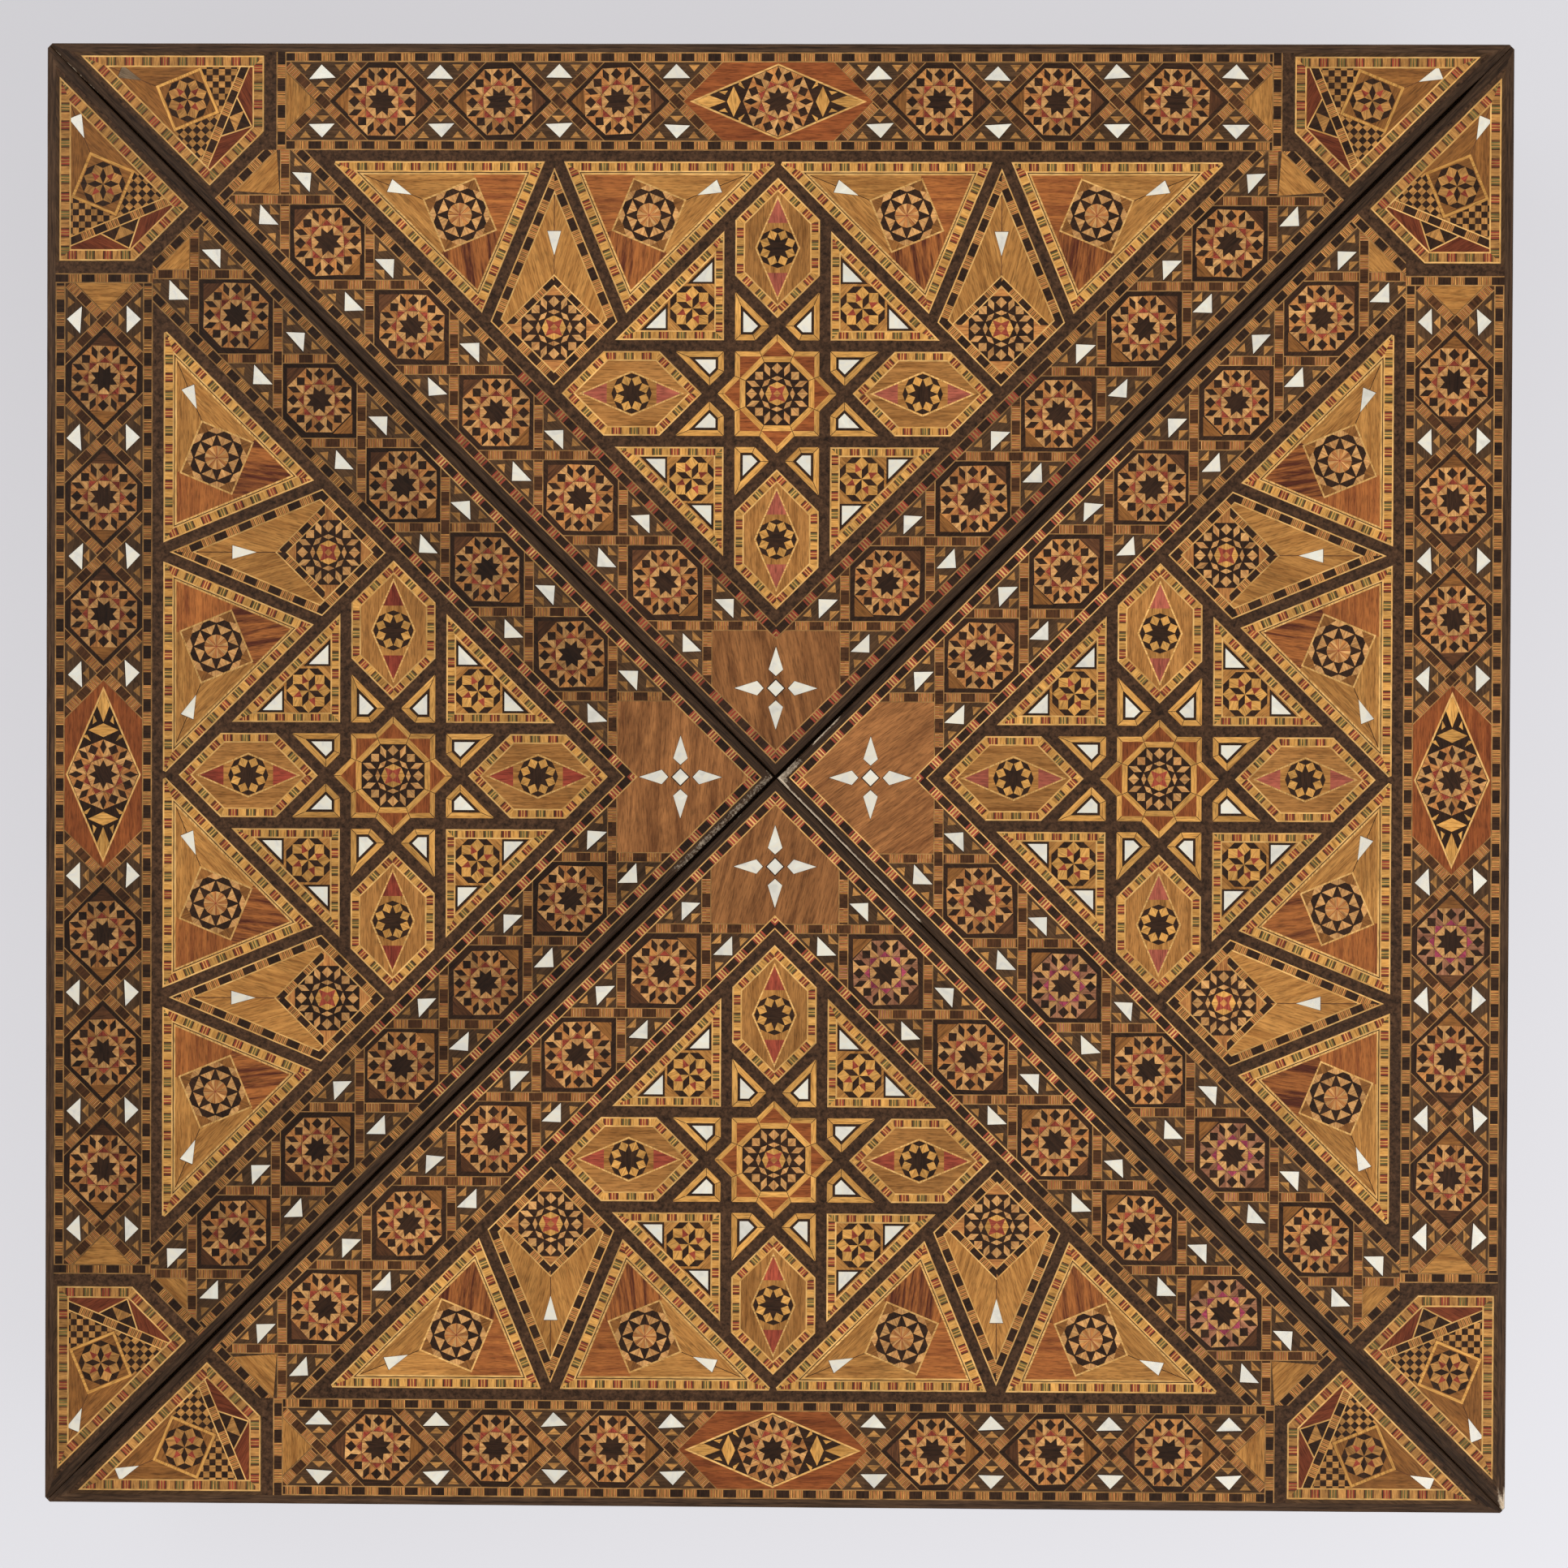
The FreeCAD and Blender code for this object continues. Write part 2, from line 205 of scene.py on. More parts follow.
# Banding: lengths of wood that repeat between two pale lines
dark_blocks = [
    ("ebonised", 4.4), ("red", 0.6), ("boxwood", 0.4), ("red", 0.7), ("boxwood", 0.6), ("red", 0.6),
    ("boxwood", 0.4), ("plum", 0.5), ("red", 0.6),
]
worn_blocks = [("ebonised", 4.3)] + 4 * [("amber", 0.45), ("red_worn", 0.2), ("lemon", 0.3), ("plum", 0.25)]
dull_blocks = [("umber", 4.7)] + 5 * [("satinwood", 0.45), ("red_worn", 0.2), ("pear", 0.22), ("plum", 0.13)]
red_lines = [("red_worn", 0.5), ("lemon", 0.4), ("red_worn", 0.5), ("lemon", 0.4), ("red_worn", 0.5)]
green_lines = [("olive", 0.5), ("lemon", 0.4), ("olive", 0.5), ("lemon", 0.4), ("olive", 0.5)]
light_blocks = [("lemon", 2.7), ("plum", 0.55)] + red_lines + [("plum", 0.55)]
light_blocks += [("lemon", 2.7), ("plum", 0.55)] + green_lines + [("plum", 0.55)]
aged_blocks = [("amber" if kind == "lemon" else kind, run) for kind, run in light_blocks]


def ladder(start, end, blocks, width, line, pale="boxwood"):
    """Banding along local x, centred on y 0."""
    reach = width / 2
    tiles = [(rectangle(start, -reach, end, reach), pale, 0)]
    x = start
    place = 0
    while x < end:
        wood, run = blocks[place % len(blocks)]
        after = min(x + run, end)
        tiles.append((rectangle(x, line - reach, after, reach - line), wood, 90))
        x = after
        place += 1
    return tiles


def edging(window, blocks, width, line, edges=None):
    """Banding inside the edges of an anticlockwise window, mitred at its corners."""
    inner = inset(window, width)
    tiles = []
    for place, (start, end) in enumerate(pairs(window)):
        if edges is not None and place not in edges:
            continue
        after = (place + 1) % len(window)
        mitred = [start, end, inner[after], inner[place]]
        run = math.dist(start, end)
        turn = math.degrees(math.atan2(end[1] - start[1], end[0] - start[0]))
        band = moved(ladder(0, run, blocks, width, line), (0, width / 2))
        tiles += kept_in(moved(band, start, turn), mitred)
    return tiles


def plain_band(window, wood, width):
    """Plain band inside the edges of an anticlockwise window, with a dark joint at each corner."""
    inner = inset(window, width)
    tiles = []
    for place, (start, end) in enumerate(pairs(window)):
        after = (place + 1) % len(window)
        turn = math.degrees(math.atan2(end[1] - start[1], end[0] - start[0]))
        tiles.append(([start, end, inner[after], inner[place]], wood, turn))
    for outer, inward in zip(window, inner):
        tiles += line_tile(outer, inward, 0.2, "ebonised")
    return tiles


# Rosettes, about their own centre
def eight_point_star(tip, notch, wood, turn):
    points = []
    for k in range(8):
        points.append(polar(tip, turn + 45 * k))
        points.append(polar(notch, turn + sharp + 45 * k))
    return (points, wood, 0)


def strip_star():
    """Dark star among light kites with red ends, ringed by dark squares and slim dark diamonds."""
    tiles = spokes([(0, 0), (11.25, 0), (12.18, sharp)], "pear")
    tiles += spokes([(0, 0), (12.18, -sharp), (11.25, 0)], "rose")
    tiles += spokes([(2.4, 0), (5.7, -20), (5.7, 20)], "pear")
    tiles += spokes([(5.5, 0), (5.8, 20), (7.4, 0), (5.8, -20)], "red_worn")
    for k in range(8):
        tiles += moved(line_tile((5.5, -5.5), (5.5, 5.5), 0.16, "plum"), degrees=45 * k)
    tiles += spokes([(7.35, 0), (9.4, 12.0), (11.25, 0), (9.4, -12.0)], "ebonised")
    tiles += spokes([(7.05, 0), (9.6, 7.0), (12.15, 0), (9.6, -7.0)], "ebonised", sharp)
    return tiles + [eight_point_star(5.05, 3.05, "ebonised", sharp)]


def red_rosette():
    """Light squares and diamonds on a dark octagon, round a dyed red square among four lens shapes."""
    tiles = [([polar(12.0, sharp + 45 * k) for k in range(8)], "ebonised", 0)]
    tiles += spokes([(7.0, 0), (9.1, 12.0), (10.8, 0), (9.1, -12.0)], "pear")
    tiles += spokes([(6.6, 0), (9.1, 7.1), (11.6, 0), (9.1, -7.1)], "pear", sharp)
    tiles += spokes([(4.5, 0), (5.75, 20.5), (6.25, 0), (5.75, -20.5)], "pear")
    tiles += [([polar(4.0, 45 + 90 * k) for k in range(4)], "red", 0)]
    tiles += spokes([(1.85, 0), (4.0, 44), (4.15, 0), (4.0, -44)], "lemon", 0, 4)
    return tiles + [([polar(1.35, 90 * k) for k in range(4)], "rose", 0)]


def pinwheel(edge, light="lemon"):
    """Eight rhombi round a point, dark and light in turn, with squares and dark rhombi outside them."""
    tiles = []
    for k in range(8):
        before = polar(edge, 45 * k - 45 - sharp)
        ray = polar(edge, 45 * k - sharp)
        after = polar(edge, 45 * k + 45 - sharp)
        beyond = polar(edge, 45 * k + 90 - sharp)
        tip = (ray[0] + after[0], ray[1] + after[1])
        tile = [ray, tip, (tip[0] + before[0], tip[1] + before[1]), (ray[0] + before[0], ray[1] + before[1])]
        next_tile = (tip[0] + beyond[0], tip[1] + beyond[1])
        outer = [tip, tile[2], (tile[2][0] + beyond[0], tile[2][1] + beyond[1]), next_tile]
        tiles.append((tile, light, 45 * k))
        tiles.append((outer, "ebonised", 45 * k))
        tiles.append(([(0, 0), ray, tip, after], light if k % 2 else "ebonised", 45 * k))
        if k % 2:
            tiles.append(([ray, tip, after], "red_worn", 45 * k))
    return tiles


def panel_medallion():
    """Rosy octagon in a ring of dark and light triangles, with light diamonds outside it."""
    tiles = spokes([(7.9, 0), (9.6, 17.6), (10.7, 0), (9.6, -17.6)], "pear")
    tiles += spokes([(0, 0), (8.1, -sharp), (9.4, -6), (9.4, 6), (8.1, sharp)], "ebonised", sharp)
    tiles += spokes([(4.3, 0), (7.6, sharp - 2), (7.6, 2 - sharp)], "pear", sharp)
    tiles += spokes([(7.8, 0), (4.1, 20), (4.1, -20)], "ebonised")
    tiles += spokes([(0, 0), (4.1, -sharp), (4.1, 0)], "pear")
    tiles += spokes([(0, 0), (4.1, 0), (4.1, sharp)], "rose")
    for k in range(8):
        tiles += line_tile((0, 0), polar(3.9, 45 * k), 0.14, "red_worn")
    return tiles


def hexagon_medallion():
    """Eight light squares, corner to corner, round a dark star."""
    tiles = [([polar(6.5 if k % 2 else 6.9, sharp * k) for k in range(16)], "ebonised", 0)]
    return tiles + spokes([(2.8, 0), (5.0, 21.2), (6.5, 0), (5.0, -21.2)], "lemon", sharp)


# Windows of the dark stringing in the front leaf
def level(v):
    return (0.0, 1.0, v)


def upright(u):
    return (1.0, 0.0, u)


def beside_left_seam(distance):
    """Line that lies this far inside the left seam."""
    return (-1.0, 1.0, half - distance * root_two)


def beside_right_seam(distance):
    return (1.0, 1.0, half - distance * root_two)


strip_inside = lip_seam + strip_width
inner_inside = strip_inside + stringing
strip_high = lip_outer + strip_width
inner_top = strip_high + stringing
inner_tip = beside_left_seam(inner_inside)[2]
star_top = inner_top + stringing * root_two
star_middle = (star_top + inner_tip) / 2
star_reach = (inner_tip - star_top) / 2
strip_middle = (lip_outer + strip_high) / 2
diagonal_middle = beside_left_seam(lip_seam + strip_width / 2)[2]
corner_apex = meet(level(lip_outer), beside_left_seam(lip_seam + corner_margin))
corner_leg = (strip_width - stringing * root_two - corner_step) / (root_two - 1)
corner_end = corner_apex[0] + corner_apex[1] + corner_leg * root_two
strip_half_length = -corner_apex[0] - corner_leg - stringing
diagonal_start = corner_end + stringing * root_two
diagonal_origin = ((diagonal_start - diagonal_middle) / 2, (diagonal_start + diagonal_middle) / 2)
panel_apex = meet(level(inner_top), beside_left_seam(inner_inside))
kite_axis = panel_apex[0] / 2
panel_base = (kite_axis - panel_apex[0]) * polar(1, sharp)[0] + kite_drop * polar(1, sharp)[1] - stringing


def across_apex(distance):
    """Line square to the left panel's middle line, this far from its point."""
    a, b = polar(1, sharp)
    return (a, b, a * panel_apex[0] + b * panel_apex[1] + distance)


def star_windows():
    """Windows of the star diamond about its own middle: hexagon, triangle, kite and star."""
    near = star_line - stringing / 2
    far = star_line + stringing / 2
    rim_left = (-1.0, -1.0, star_reach)
    rim_right = (1.0, -1.0, star_reach)
    slope_left = (-1.0, -1.0, far * root_two)
    slope_right = (1.0, -1.0, far * root_two)
    hexagon = outline([upright(-near), rim_left, rim_right, upright(near), slope_left, slope_right])
    triangle = outline([upright(-far), level(-far), rim_left])
    kite = outline([upright(-near), level(-far), slope_left, (1.0, -1.0, near * root_two)])
    star = eight_point_star(near * root_two, near / polar(1, sharp)[0], "lemon", 0)[0]
    return hexagon, triangle, kite, star


# Sheets are lists of tiles; the first tile is the window, and nothing shows outside it
def crossing(place):
    """Pearl and small light triangles on both sides of a crossing in a star strip."""
    shell = [
        ([(place - 4.9, 7.4), (place + 4.9, 7.4), (place, 12.7)], "ebonised", 0),
        ([(place - 4.5, 7.7), (place + 4.5, 7.7), (place, 12.4)], "pearl", 0),
    ]
    shells = set_by_hand(shell, f"upper_{place:.0f}", 0.4, 4)
    shells += set_by_hand(flipped(shell), f"lower_{place:.0f}", 0.4, 4)
    above = [([(place - 2.4, 4.9), (place + 2.4, 4.9), (place, 7.1)], "amber", 0)]
    beside = [("amber", 12.5, 10.2, (4.0, 7.8, 5.9)), ("plum", 9.2, 7.6, (5.6, 8.0, 6.8))]
    for wood, base, tip, corners in beside:
        for side in (1, -1):
            near, far, middle = [place + side * corner for corner in corners]
            above.append(([(near, base), (far, base), (middle, tip)], wood, 0))
    return shells + above + flipped(above)


def crossing_ladders(place):
    """Two dull ladders that cross at right angles on the strip's middle line."""
    reach = (strip_width / 2 - ladder_width) * root_two
    band = ladder(-reach - 3, reach + 3, dull_blocks, ladder_width, 0.3, "boxwood_worn")
    return moved(band, (place, 0), 45) + moved(band, (place, 0), -45)


def border_ladders(start, end, blocks=worn_blocks, pale="boxwood_worn"):
    """Ladders along both long sides of a strip."""
    band = ladder(start, end, blocks, ladder_width, 0.4, pale)
    away = (strip_width - ladder_width) / 2
    return moved(band, (0, away)) + moved(band, (0, -away))


def end_ladder(place):
    """Ladder across a strip's end."""
    reach = strip_width / 2
    band = ladder(-reach, reach, worn_blocks, ladder_width, 0.4, "boxwood_worn")
    return moved(band, (place, 0), 90)


def star_cell(place):
    """Star medallion in a black border, with a small corner piece before and after it."""
    border = [(18.0, 0), (4.7, 13.3), (-4.7, 13.3), (-18.0, 0), (-4.7, -13.3), (4.7, -13.3)]
    tiles = [(border, "ebonised", 0)]
    tiles.append(([(11.2, 4.7), (11.2, -4.7), (15.8, 0)], "satinwood_dull", 90))
    tiles.append(([(-11.2, 4.7), (-11.2, -4.7), (-15.8, 0)], "plum", 90))
    return moved(tiles + set_by_hand(strip_star(), f"star_{place:.0f}", 0.3, 3), (place, 0))


def lozenge():
    """Pale-lined lozenge in the middle of a strip, with a star medallion and long diamonds."""
    ground = [(-33, 0), (-19.4, 13.6), (19.4, 13.6), (33, 0), (19.4, -13.6), (-19.4, -13.6)]
    frame_line = [(-30.2, 0), (0, 12.9), (30.2, 0), (0, -12.9)]
    bed = inset(anticlockwise(frame_line), 0.6)
    tiles = [(ground, "padauk_deep", 0), (frame_line, "boxwood", 0), (bed, "ebonised", 0)]
    end = [
        ([(12.8, 0), (15.2, 5.2), (17.5, 0), (15.2, -5.2)], "lemon", 90),
        ([(17.9, 0), (23.5, 2.1), (28.6, 0), (23.5, -2.1)], "lemon", 0),
        ([(11.4, 4.3), (13.2, 7.3), (13.6, 5.6)], "lemon", 0),
        ([(11.4, -4.3), (13.2, -7.3), (13.6, -5.6)], "lemon", 0),
        ([(17.2, 3.7), (20.3, 3.3), (18.2, 2.3)], "lemon", 0),
        ([(17.2, -3.7), (20.3, -3.3), (18.2, -2.3)], "lemon", 0),
    ]
    tiles += end + moved(end, degrees=180)
    star = moved(strip_star(), degrees=sharp, scale=0.985)
    return tiles + kept_in(star, bed)


def star_run(crossings, medallions, triangle):
    """Run of crossings and star medallions, with a plain triangle at its end, under crossing ladders."""
    tiles = []
    for place in crossings:
        tiles += crossing(place)
    for place in medallions:
        tiles += star_cell(place)
    tiles.append((triangle, "satinwood", 90))
    for place in crossings:
        tiles += crossing_ladders(place)
    return tiles


def strip_halves(count, end, spread):
    """Lozenge with a run of stars on either side, and a plain triangle of this spread at each end."""
    places = [first_crossing + k * strip_pitch for k in range(count)]
    tiles = lozenge()
    for side in (1, -1):
        crossings = [side * place for place in places]
        medallions = [side * (place + strip_pitch / 2) for place in places[:-1]]
        point = side * (places[-1] + end_point)
        triangle = [(point, 0), (side * end, spread), (side * end, -spread)]
        tiles += star_run(crossings, medallions, triangle)
    return tiles


def outer_strip():
    """Whole strip along the outer edge, about its middle."""
    run = strip_half_length
    tiles = [(rectangle(-run, -strip_width / 2, run, strip_width / 2), "walnut", 0)]
    tiles += strip_halves(4, run - ladder_width, end_spread) + border_ladders(-run, run)
    return tiles + end_ladder(run - ladder_width / 2) + end_ladder(ladder_width / 2 - run)


def diagonal_strip(first, last):
    """Strip beside a seam, from its outer end, with its first and last crossings at these places."""
    tiles = [(rectangle(ground_start, -strip_width / 2, ground_end, strip_width / 2), "walnut", 0)]
    pitch = (last - first) / 5
    crossings = [first + k * pitch for k in range(6)]
    medallions = [place + pitch / 2 for place in crossings[:5]]
    triangle = [(first - end_point, 0), (ladder_width, end_spread), (ladder_width, -end_spread)]
    tiles += star_run(crossings, medallions, triangle)
    tiles += border_ladders(0, fresh_from) + border_ladders(fresh_from, ground_end, dark_blocks, "boxwood")
    return tiles + end_ladder(ladder_width / 2)


def strip_sheets():
    """Outer strip in three lengths."""
    whole = moved(outer_strip(), (0, strip_middle))
    run = strip_half_length
    made = {}
    for name, left, right in (
        ("strip_left", -run, -lozenge_cut),
        ("lozenge", -lozenge_cut, lozenge_cut),
        ("strip_right", lozenge_cut, run),
    ):
        made[name] = [(rectangle(left, lip_outer, right, strip_high), "walnut", 0)] + whole
    return made


def diagonal_sheet(first, last):
    """Left diagonal strip, up to the ladders of its last crossing."""
    reach = last_reach(last)
    window = outline([
        beside_left_seam(lip_seam),
        (1.0, 1.0, diagonal_start),
        level(strip_high),
        beside_left_seam(strip_inside),
        level(diagonal_middle - reach),
        upright(-reach),
    ])
    return [(window, "walnut", 45)] + moved(diagonal_strip(first, last), diagonal_origin, 45)


def last_reach(last):
    """How far from the leaf's middle line a strip's last crossing lies."""
    return -diagonal_origin[0] - last / root_two


def tip_sheet(last, petal_drop):
    """Plain field at the leaf's tip, with ladders on its edges and pearl petals."""
    reach = last_reach(last)
    window = outline([
        beside_left_seam(lip_seam),
        upright(-reach),
        level(diagonal_middle - reach),
        beside_left_seam(strip_inside),
        beside_right_seam(strip_inside),
        level(diagonal_middle - reach),
        upright(reach),
        beside_right_seam(lip_seam),
    ])
    left = crossing_ladders(last) + border_ladders(fresh_from, ladder_end, dark_blocks, "boxwood")
    left_half = rectangle(-100, 100, 0, 300)
    left = kept_in(moved(left, diagonal_origin, 45), left_half)
    flower = (0, beside_left_seam(lip_seam)[2] - petal_drop)
    petals = spokes([(3.9, 0), (6.8, 21.8), (14.5, 0), (6.8, -21.8)], "ebonised", 0, 4)
    petals += spokes([(4.2, 0), (6.85, 20.9), (14.1, 0), (6.85, -20.9)], "pearl", 0, 4)
    petals += spokes([(0, 0), (3.3, -45), (3.3, 45)], "ebonised", 45, 4)
    petals += [([polar(2.8, 90 * k) for k in range(4)], "pearl", 0)]
    return [(window, "walnut_field", 90)] + left + mirrored(left) + moved(petals, flower)


def pearl_dart(start):
    """Pearl triangle with a dark line round it, on the local x axis."""
    return [
        ([(start - 0.2, -2.45), (start - 0.2, 2.45), (start + 8.4, 0)], "plum", 0),
        ([(start, -2.3), (start, 2.3), (start + 8.0, 0)], "pearl", 0),
    ]


def corner_sheet():
    """Four-sided compartment in the leaf's left corner."""
    far = corner_apex[0] + corner_leg
    lip = beside_left_seam(lip_seam + corner_margin)
    window = outline([lip, level(lip_outer), upright(far), (1.0, 1.0, corner_end)])
    banded = outline([
        beside_left_seam(lip_seam + corner_margin + 0.9),
        level(lip_outer + 1.3),
        upright(far - 0.5),
        (1.0, 1.0, corner_end - 0.5 * root_two),
    ])
    inner = inset(banded, 3.8)
    middle = 42.4
    reach = 11.8
    diamond = [(middle - reach, 0), (middle, reach), (middle + reach, 0), (middle, -reach)]
    chess = anticlockwise([(middle, -reach), (54.6, -18.6), (54.6, 0)])
    fields = [([(8, 0), (72, 0), (72, -30), (8, -3.5)], "satinwood_dull", -sharp)]
    cell = 2.1
    for row in range(-12, 12):
        for column in range(-12, 12):
            wood = "amber" if (row + column) % 2 else "ebonised"
            x = column * cell
            y = row * cell
            square = moved([(rectangle(x, y, x + cell, y + cell), wood, 0)], (48.0, -9.0), -sharp)
            fields += kept_in(square, chess)
    fields += [
        ([(57.5, -22), (57.5, -7), (66, 0), (75, 0), (75, -22)], "rosewood", 40),
        ([(57.5, -7.1), (57.5, 0), (66, 0)], "ebonised", 0),
        ([(57.9, 0), (61.8, 0), (61.8, -3.9)], "amber", 0),
    ]
    fields += line_tile((57.9, -7.1), (66.2, 0), 0.45, "boxwood")
    local = fields + flipped(fields)
    local += moved(ladder(-27, 27, worn_blocks, 3.3, 0.4), (56.25, 0), 90)
    local += line_tile((10, 0), (31, 0), 0.25, "plum")
    local += [
        (diamond, "lemon", 45),
        (inset(anticlockwise(diamond), 0.9), "satinwood_dull", 45),
    ]
    local += moved(pinwheel(2.95, "amber"), (middle, 0), -sharp) + pearl_dart(17.4)
    tiles = kept_in(moved(local, corner_apex, sharp), inner)
    return [(window, "walnut", sharp)] + tiles + edging(banded, aged_blocks, 3.9, 0.5)


def panel_sheet():
    """Sharp triangular panel at the left end of the inner triangle."""
    base = across_apex(panel_base)
    edge = beside_left_seam(inner_inside)
    window = outline([level(inner_top), base, edge, across_apex(panel_tip_cut)])
    whole = outline([level(inner_top), base, edge])
    inner = inset(whole, 4.5)
    middle = 47.6
    reach = 13.8
    diamond = [(middle - reach, 0), (middle, -reach), (middle + reach, 0), (middle, reach)]
    bed = inset(diamond, 0.55)
    local = [
        ([(8, 0), (70, -28), (70, 0)], "satinwood", -sharp),
        ([(8, 0), (70, 28), (70, 0)], "satinwood", sharp),
        ([(middle - 0.5, -reach), (44, -24), (70, -30), (70, 0), (middle, 0)], "padauk", -sharp),
        ([(middle - 0.5, reach), (44, 24), (70, 30), (70, 0), (middle, 0)], "padauk_striped", 60),
    ]
    local += line_tile((11, 0), (35, 0), 0.25, "ebonised")
    local.append((diamond, "boxwood", 0))
    sectors = spokes([(0, 0), (15, -sharp), (15, sharp)], "satinwood_dull", 0)
    local += kept_in(moved(sectors, (middle, 0)) + moved(panel_medallion(), (middle, 0), sharp), bed)
    local += pearl_dart(21.6)
    tiles = [(inset(whole, 3.5), "ebonised", 0), (inset(whole, 3.9), "boxwood", 0)]
    tiles += kept_in(moved(local, panel_apex, sharp), inner)
    return [(window, "boxwood", 0)] + tiles + edging(whole, light_blocks, 3.6, 0.5)


def kite_sheet():
    """Kite between two panels, with its point towards the outer edge."""
    left = across_apex(panel_base + stringing)
    right = (-left[0], left[1], left[2] - 2 * kite_axis * left[0])
    window = outline([left, right, (1.0, 1.0, inner_top), beside_left_seam(inner_inside)])
    inner = inset(window, ladder_width)
    axis = kite_axis
    heart = 95.6
    reach = 17.0
    diamond = [(axis + x, heart + y) for x, y in ((0, -reach), (reach, 0), (0, reach), (-reach, 0))]
    local = [
        (rectangle(axis - 30, 40, axis, 120), "satinwood", 75),
        (rectangle(axis, 40, axis + 30, 120), "satinwood", 105),
        (rectangle(axis - 30, 40, axis + 30, 52), "walnut", 90),
    ]
    local += line_tile((axis, 52), (axis, 80), 0.3, "plum")
    local += [
        ([(axis - 2.45, 63.7), (axis + 2.45, 63.7), (axis, 72.5)], "plum", 90),
        ([(axis - 2.3, 63.9), (axis + 2.3, 63.9), (axis, 72.1)], "pearl", 90),
        (diamond, "rose", 0),
    ]
    local += kept_in(moved(red_rosette(), (axis, heart + 1.2)), diamond)
    upper = [place for place, (a, b) in enumerate(pairs(diamond)) if a[1] + b[1] < 2 * heart]
    local += edging(diamond, worn_blocks, 2.9, 0.4, upper)
    tiles = kept_in(local, inner)
    return [(window, "boxwood", 0)] + tiles + edging(window, worn_blocks, ladder_width, 0.45)


def star_sheets():
    """Hexagons, triangles, kites and the star of the star diamond."""
    hexagon, triangle, kite, star = star_windows()
    heart = (0, -(star_reach + (star_line + stringing / 2) * root_two) / 2)
    rhombus = anticlockwise([(0, 18.0), (-7.7, 0), (0, -18.0), (7.7, 0)])
    bed = inset(rhombus, 0.5)
    inside = [(inset(hexagon, 3.3), "olivewood", 90)]
    emblem = [(rhombus, "boxwood", 0), (bed, "satinwood", 90)]
    for low in (8.5, -28.5):
        emblem += kept_in([(rectangle(-9, low, 9, low + 20), "pink", 90)], bed)
    inside += moved(emblem + kept_in(hexagon_medallion(), bed), heart)
    hexagon_tiles = [(hexagon, "boxwood", 0)] + inside + edging(hexagon, light_blocks, 3.3, 0.5)

    far = star_line + stringing / 2
    bed = inset(triangle, 3.3)
    near = far + 3.3
    shell = [(-near - 16.6, -near - 0.8), (-near - 16.6, -near - 7.4), (-near - 23.2, -near - 0.8)]
    edge = [(-near - 15.9, -near), (-near - 15.9, -near - 9.4), (-near - 25.3, -near)]
    turned_shell = [(v, u) for u, v in shell]
    turned_edge = [(v, u) for u, v in edge]
    inside = [
        (bed, "satinwood", 45),
        (edge, "ebonised", 0),
        (turned_edge, "ebonised", 0),
        (shell, "pearl", 0),
        (turned_shell, "pearl", 0),
    ]
    rosette = moved(pinwheel(3.15), (-far - 10.8, -far - 10.8), -sharp)
    inside = kept_in(inside + rosette, bed)
    triangle_tiles = [(triangle, "boxwood", 0)] + inside + edging(triangle, light_blocks, 3.3, 0.5)

    kite_tiles = [(kite, "lemon", 0)] + plain_band(kite, "lemon", 1.9)
    kite_tiles += [(inset(kite, 1.9), "ebonised", 0), (inset(kite, 2.8), "pearl", 0)]

    octagon = [polar(13.75, sharp + 45 * k) for k in range(8)]
    star_tiles = [(star, "lemon", 0)] + plain_band(star, "lemon", 1.7)
    star_tiles += [(inset(star, 1.7), "padauk_deep", 0), (octagon, "lemon", 0)]
    star_tiles += plain_band(octagon, "lemon", 1.9)
    star_tiles += moved(red_rosette(), scale=0.975)

    made = []
    for k in range(4):
        for tiles in (hexagon_tiles, triangle_tiles, kite_tiles, mirrored(kite_tiles)):
            made.append(moved(tiles, (0, star_middle), 90 * k))
    return made + [moved(star_tiles, (0, star_middle))]


def side_band_sheet():
    """Band on a side of the case: a star strip between plain veneer and light ladders."""
    run = band_run
    reach = (band_high - band_low) / 2
    window = rectangle(-run, -reach, run, reach)
    tiles = [(window, "walnut_field", 0)]
    for k in range(-6, 6):
        for low in (-reach, strip_width / 2 + 1):
            veneer = rectangle(k * run / 6, low, (k + 1) * run / 6, low + reach - strip_width / 2 - 1)
            tiles.append((veneer, "satinwood" if k % 2 else "walnut_field", 0))
    edge = strip_width / 2 + 2.6
    tiles.append((rectangle(-run, -edge, run, edge), "ebonised", 0))
    tiles.append((rectangle(-run, -strip_width / 2, run, strip_width / 2), "walnut", 0))
    tiles += strip_halves(5, run - ladder_width, 13) + border_ladders(-run, run)
    return tiles + edging(window, light_blocks, 4.0, 0.55)


def cut_sheet(tiles):
    """Flat pieces of one sheet: corners, (triangle, tile) pairs, and the corners round its edge."""
    points = []
    faces = []
    tiles = [tile for tile in tiles if abs(area_of(tile[0])) > 0.01]
    for shape, _, _ in tiles:
        faces.append(list(range(len(points), len(points) + len(shape))))
        points.extend(Vector(p) for p in anticlockwise(shape))
    made = delaunay_2d_cdt(points, [], faces, 1, 1e-3, True)
    shown = [(list(face), max(owners)) for face, owners in zip(made[2], made[5]) if 0 in owners]
    used = sorted({corner for face, _ in shown for corner in face})
    number = {corner: place for place, corner in enumerate(used)}
    corners = [tuple(made[0][corner]) for corner in used]
    shown = [([number[corner] for corner in face], tile) for face, tile in shown]
    directed = {edge for face, _ in shown for edge in pairs(face)}
    following = {a: b for a, b in directed if (b, a) not in directed}
    rim = [min(following)]
    while following[rim[-1]] != rim[0]:
        rim.append(following[rim[-1]])
    return corners, shown, rim, tiles


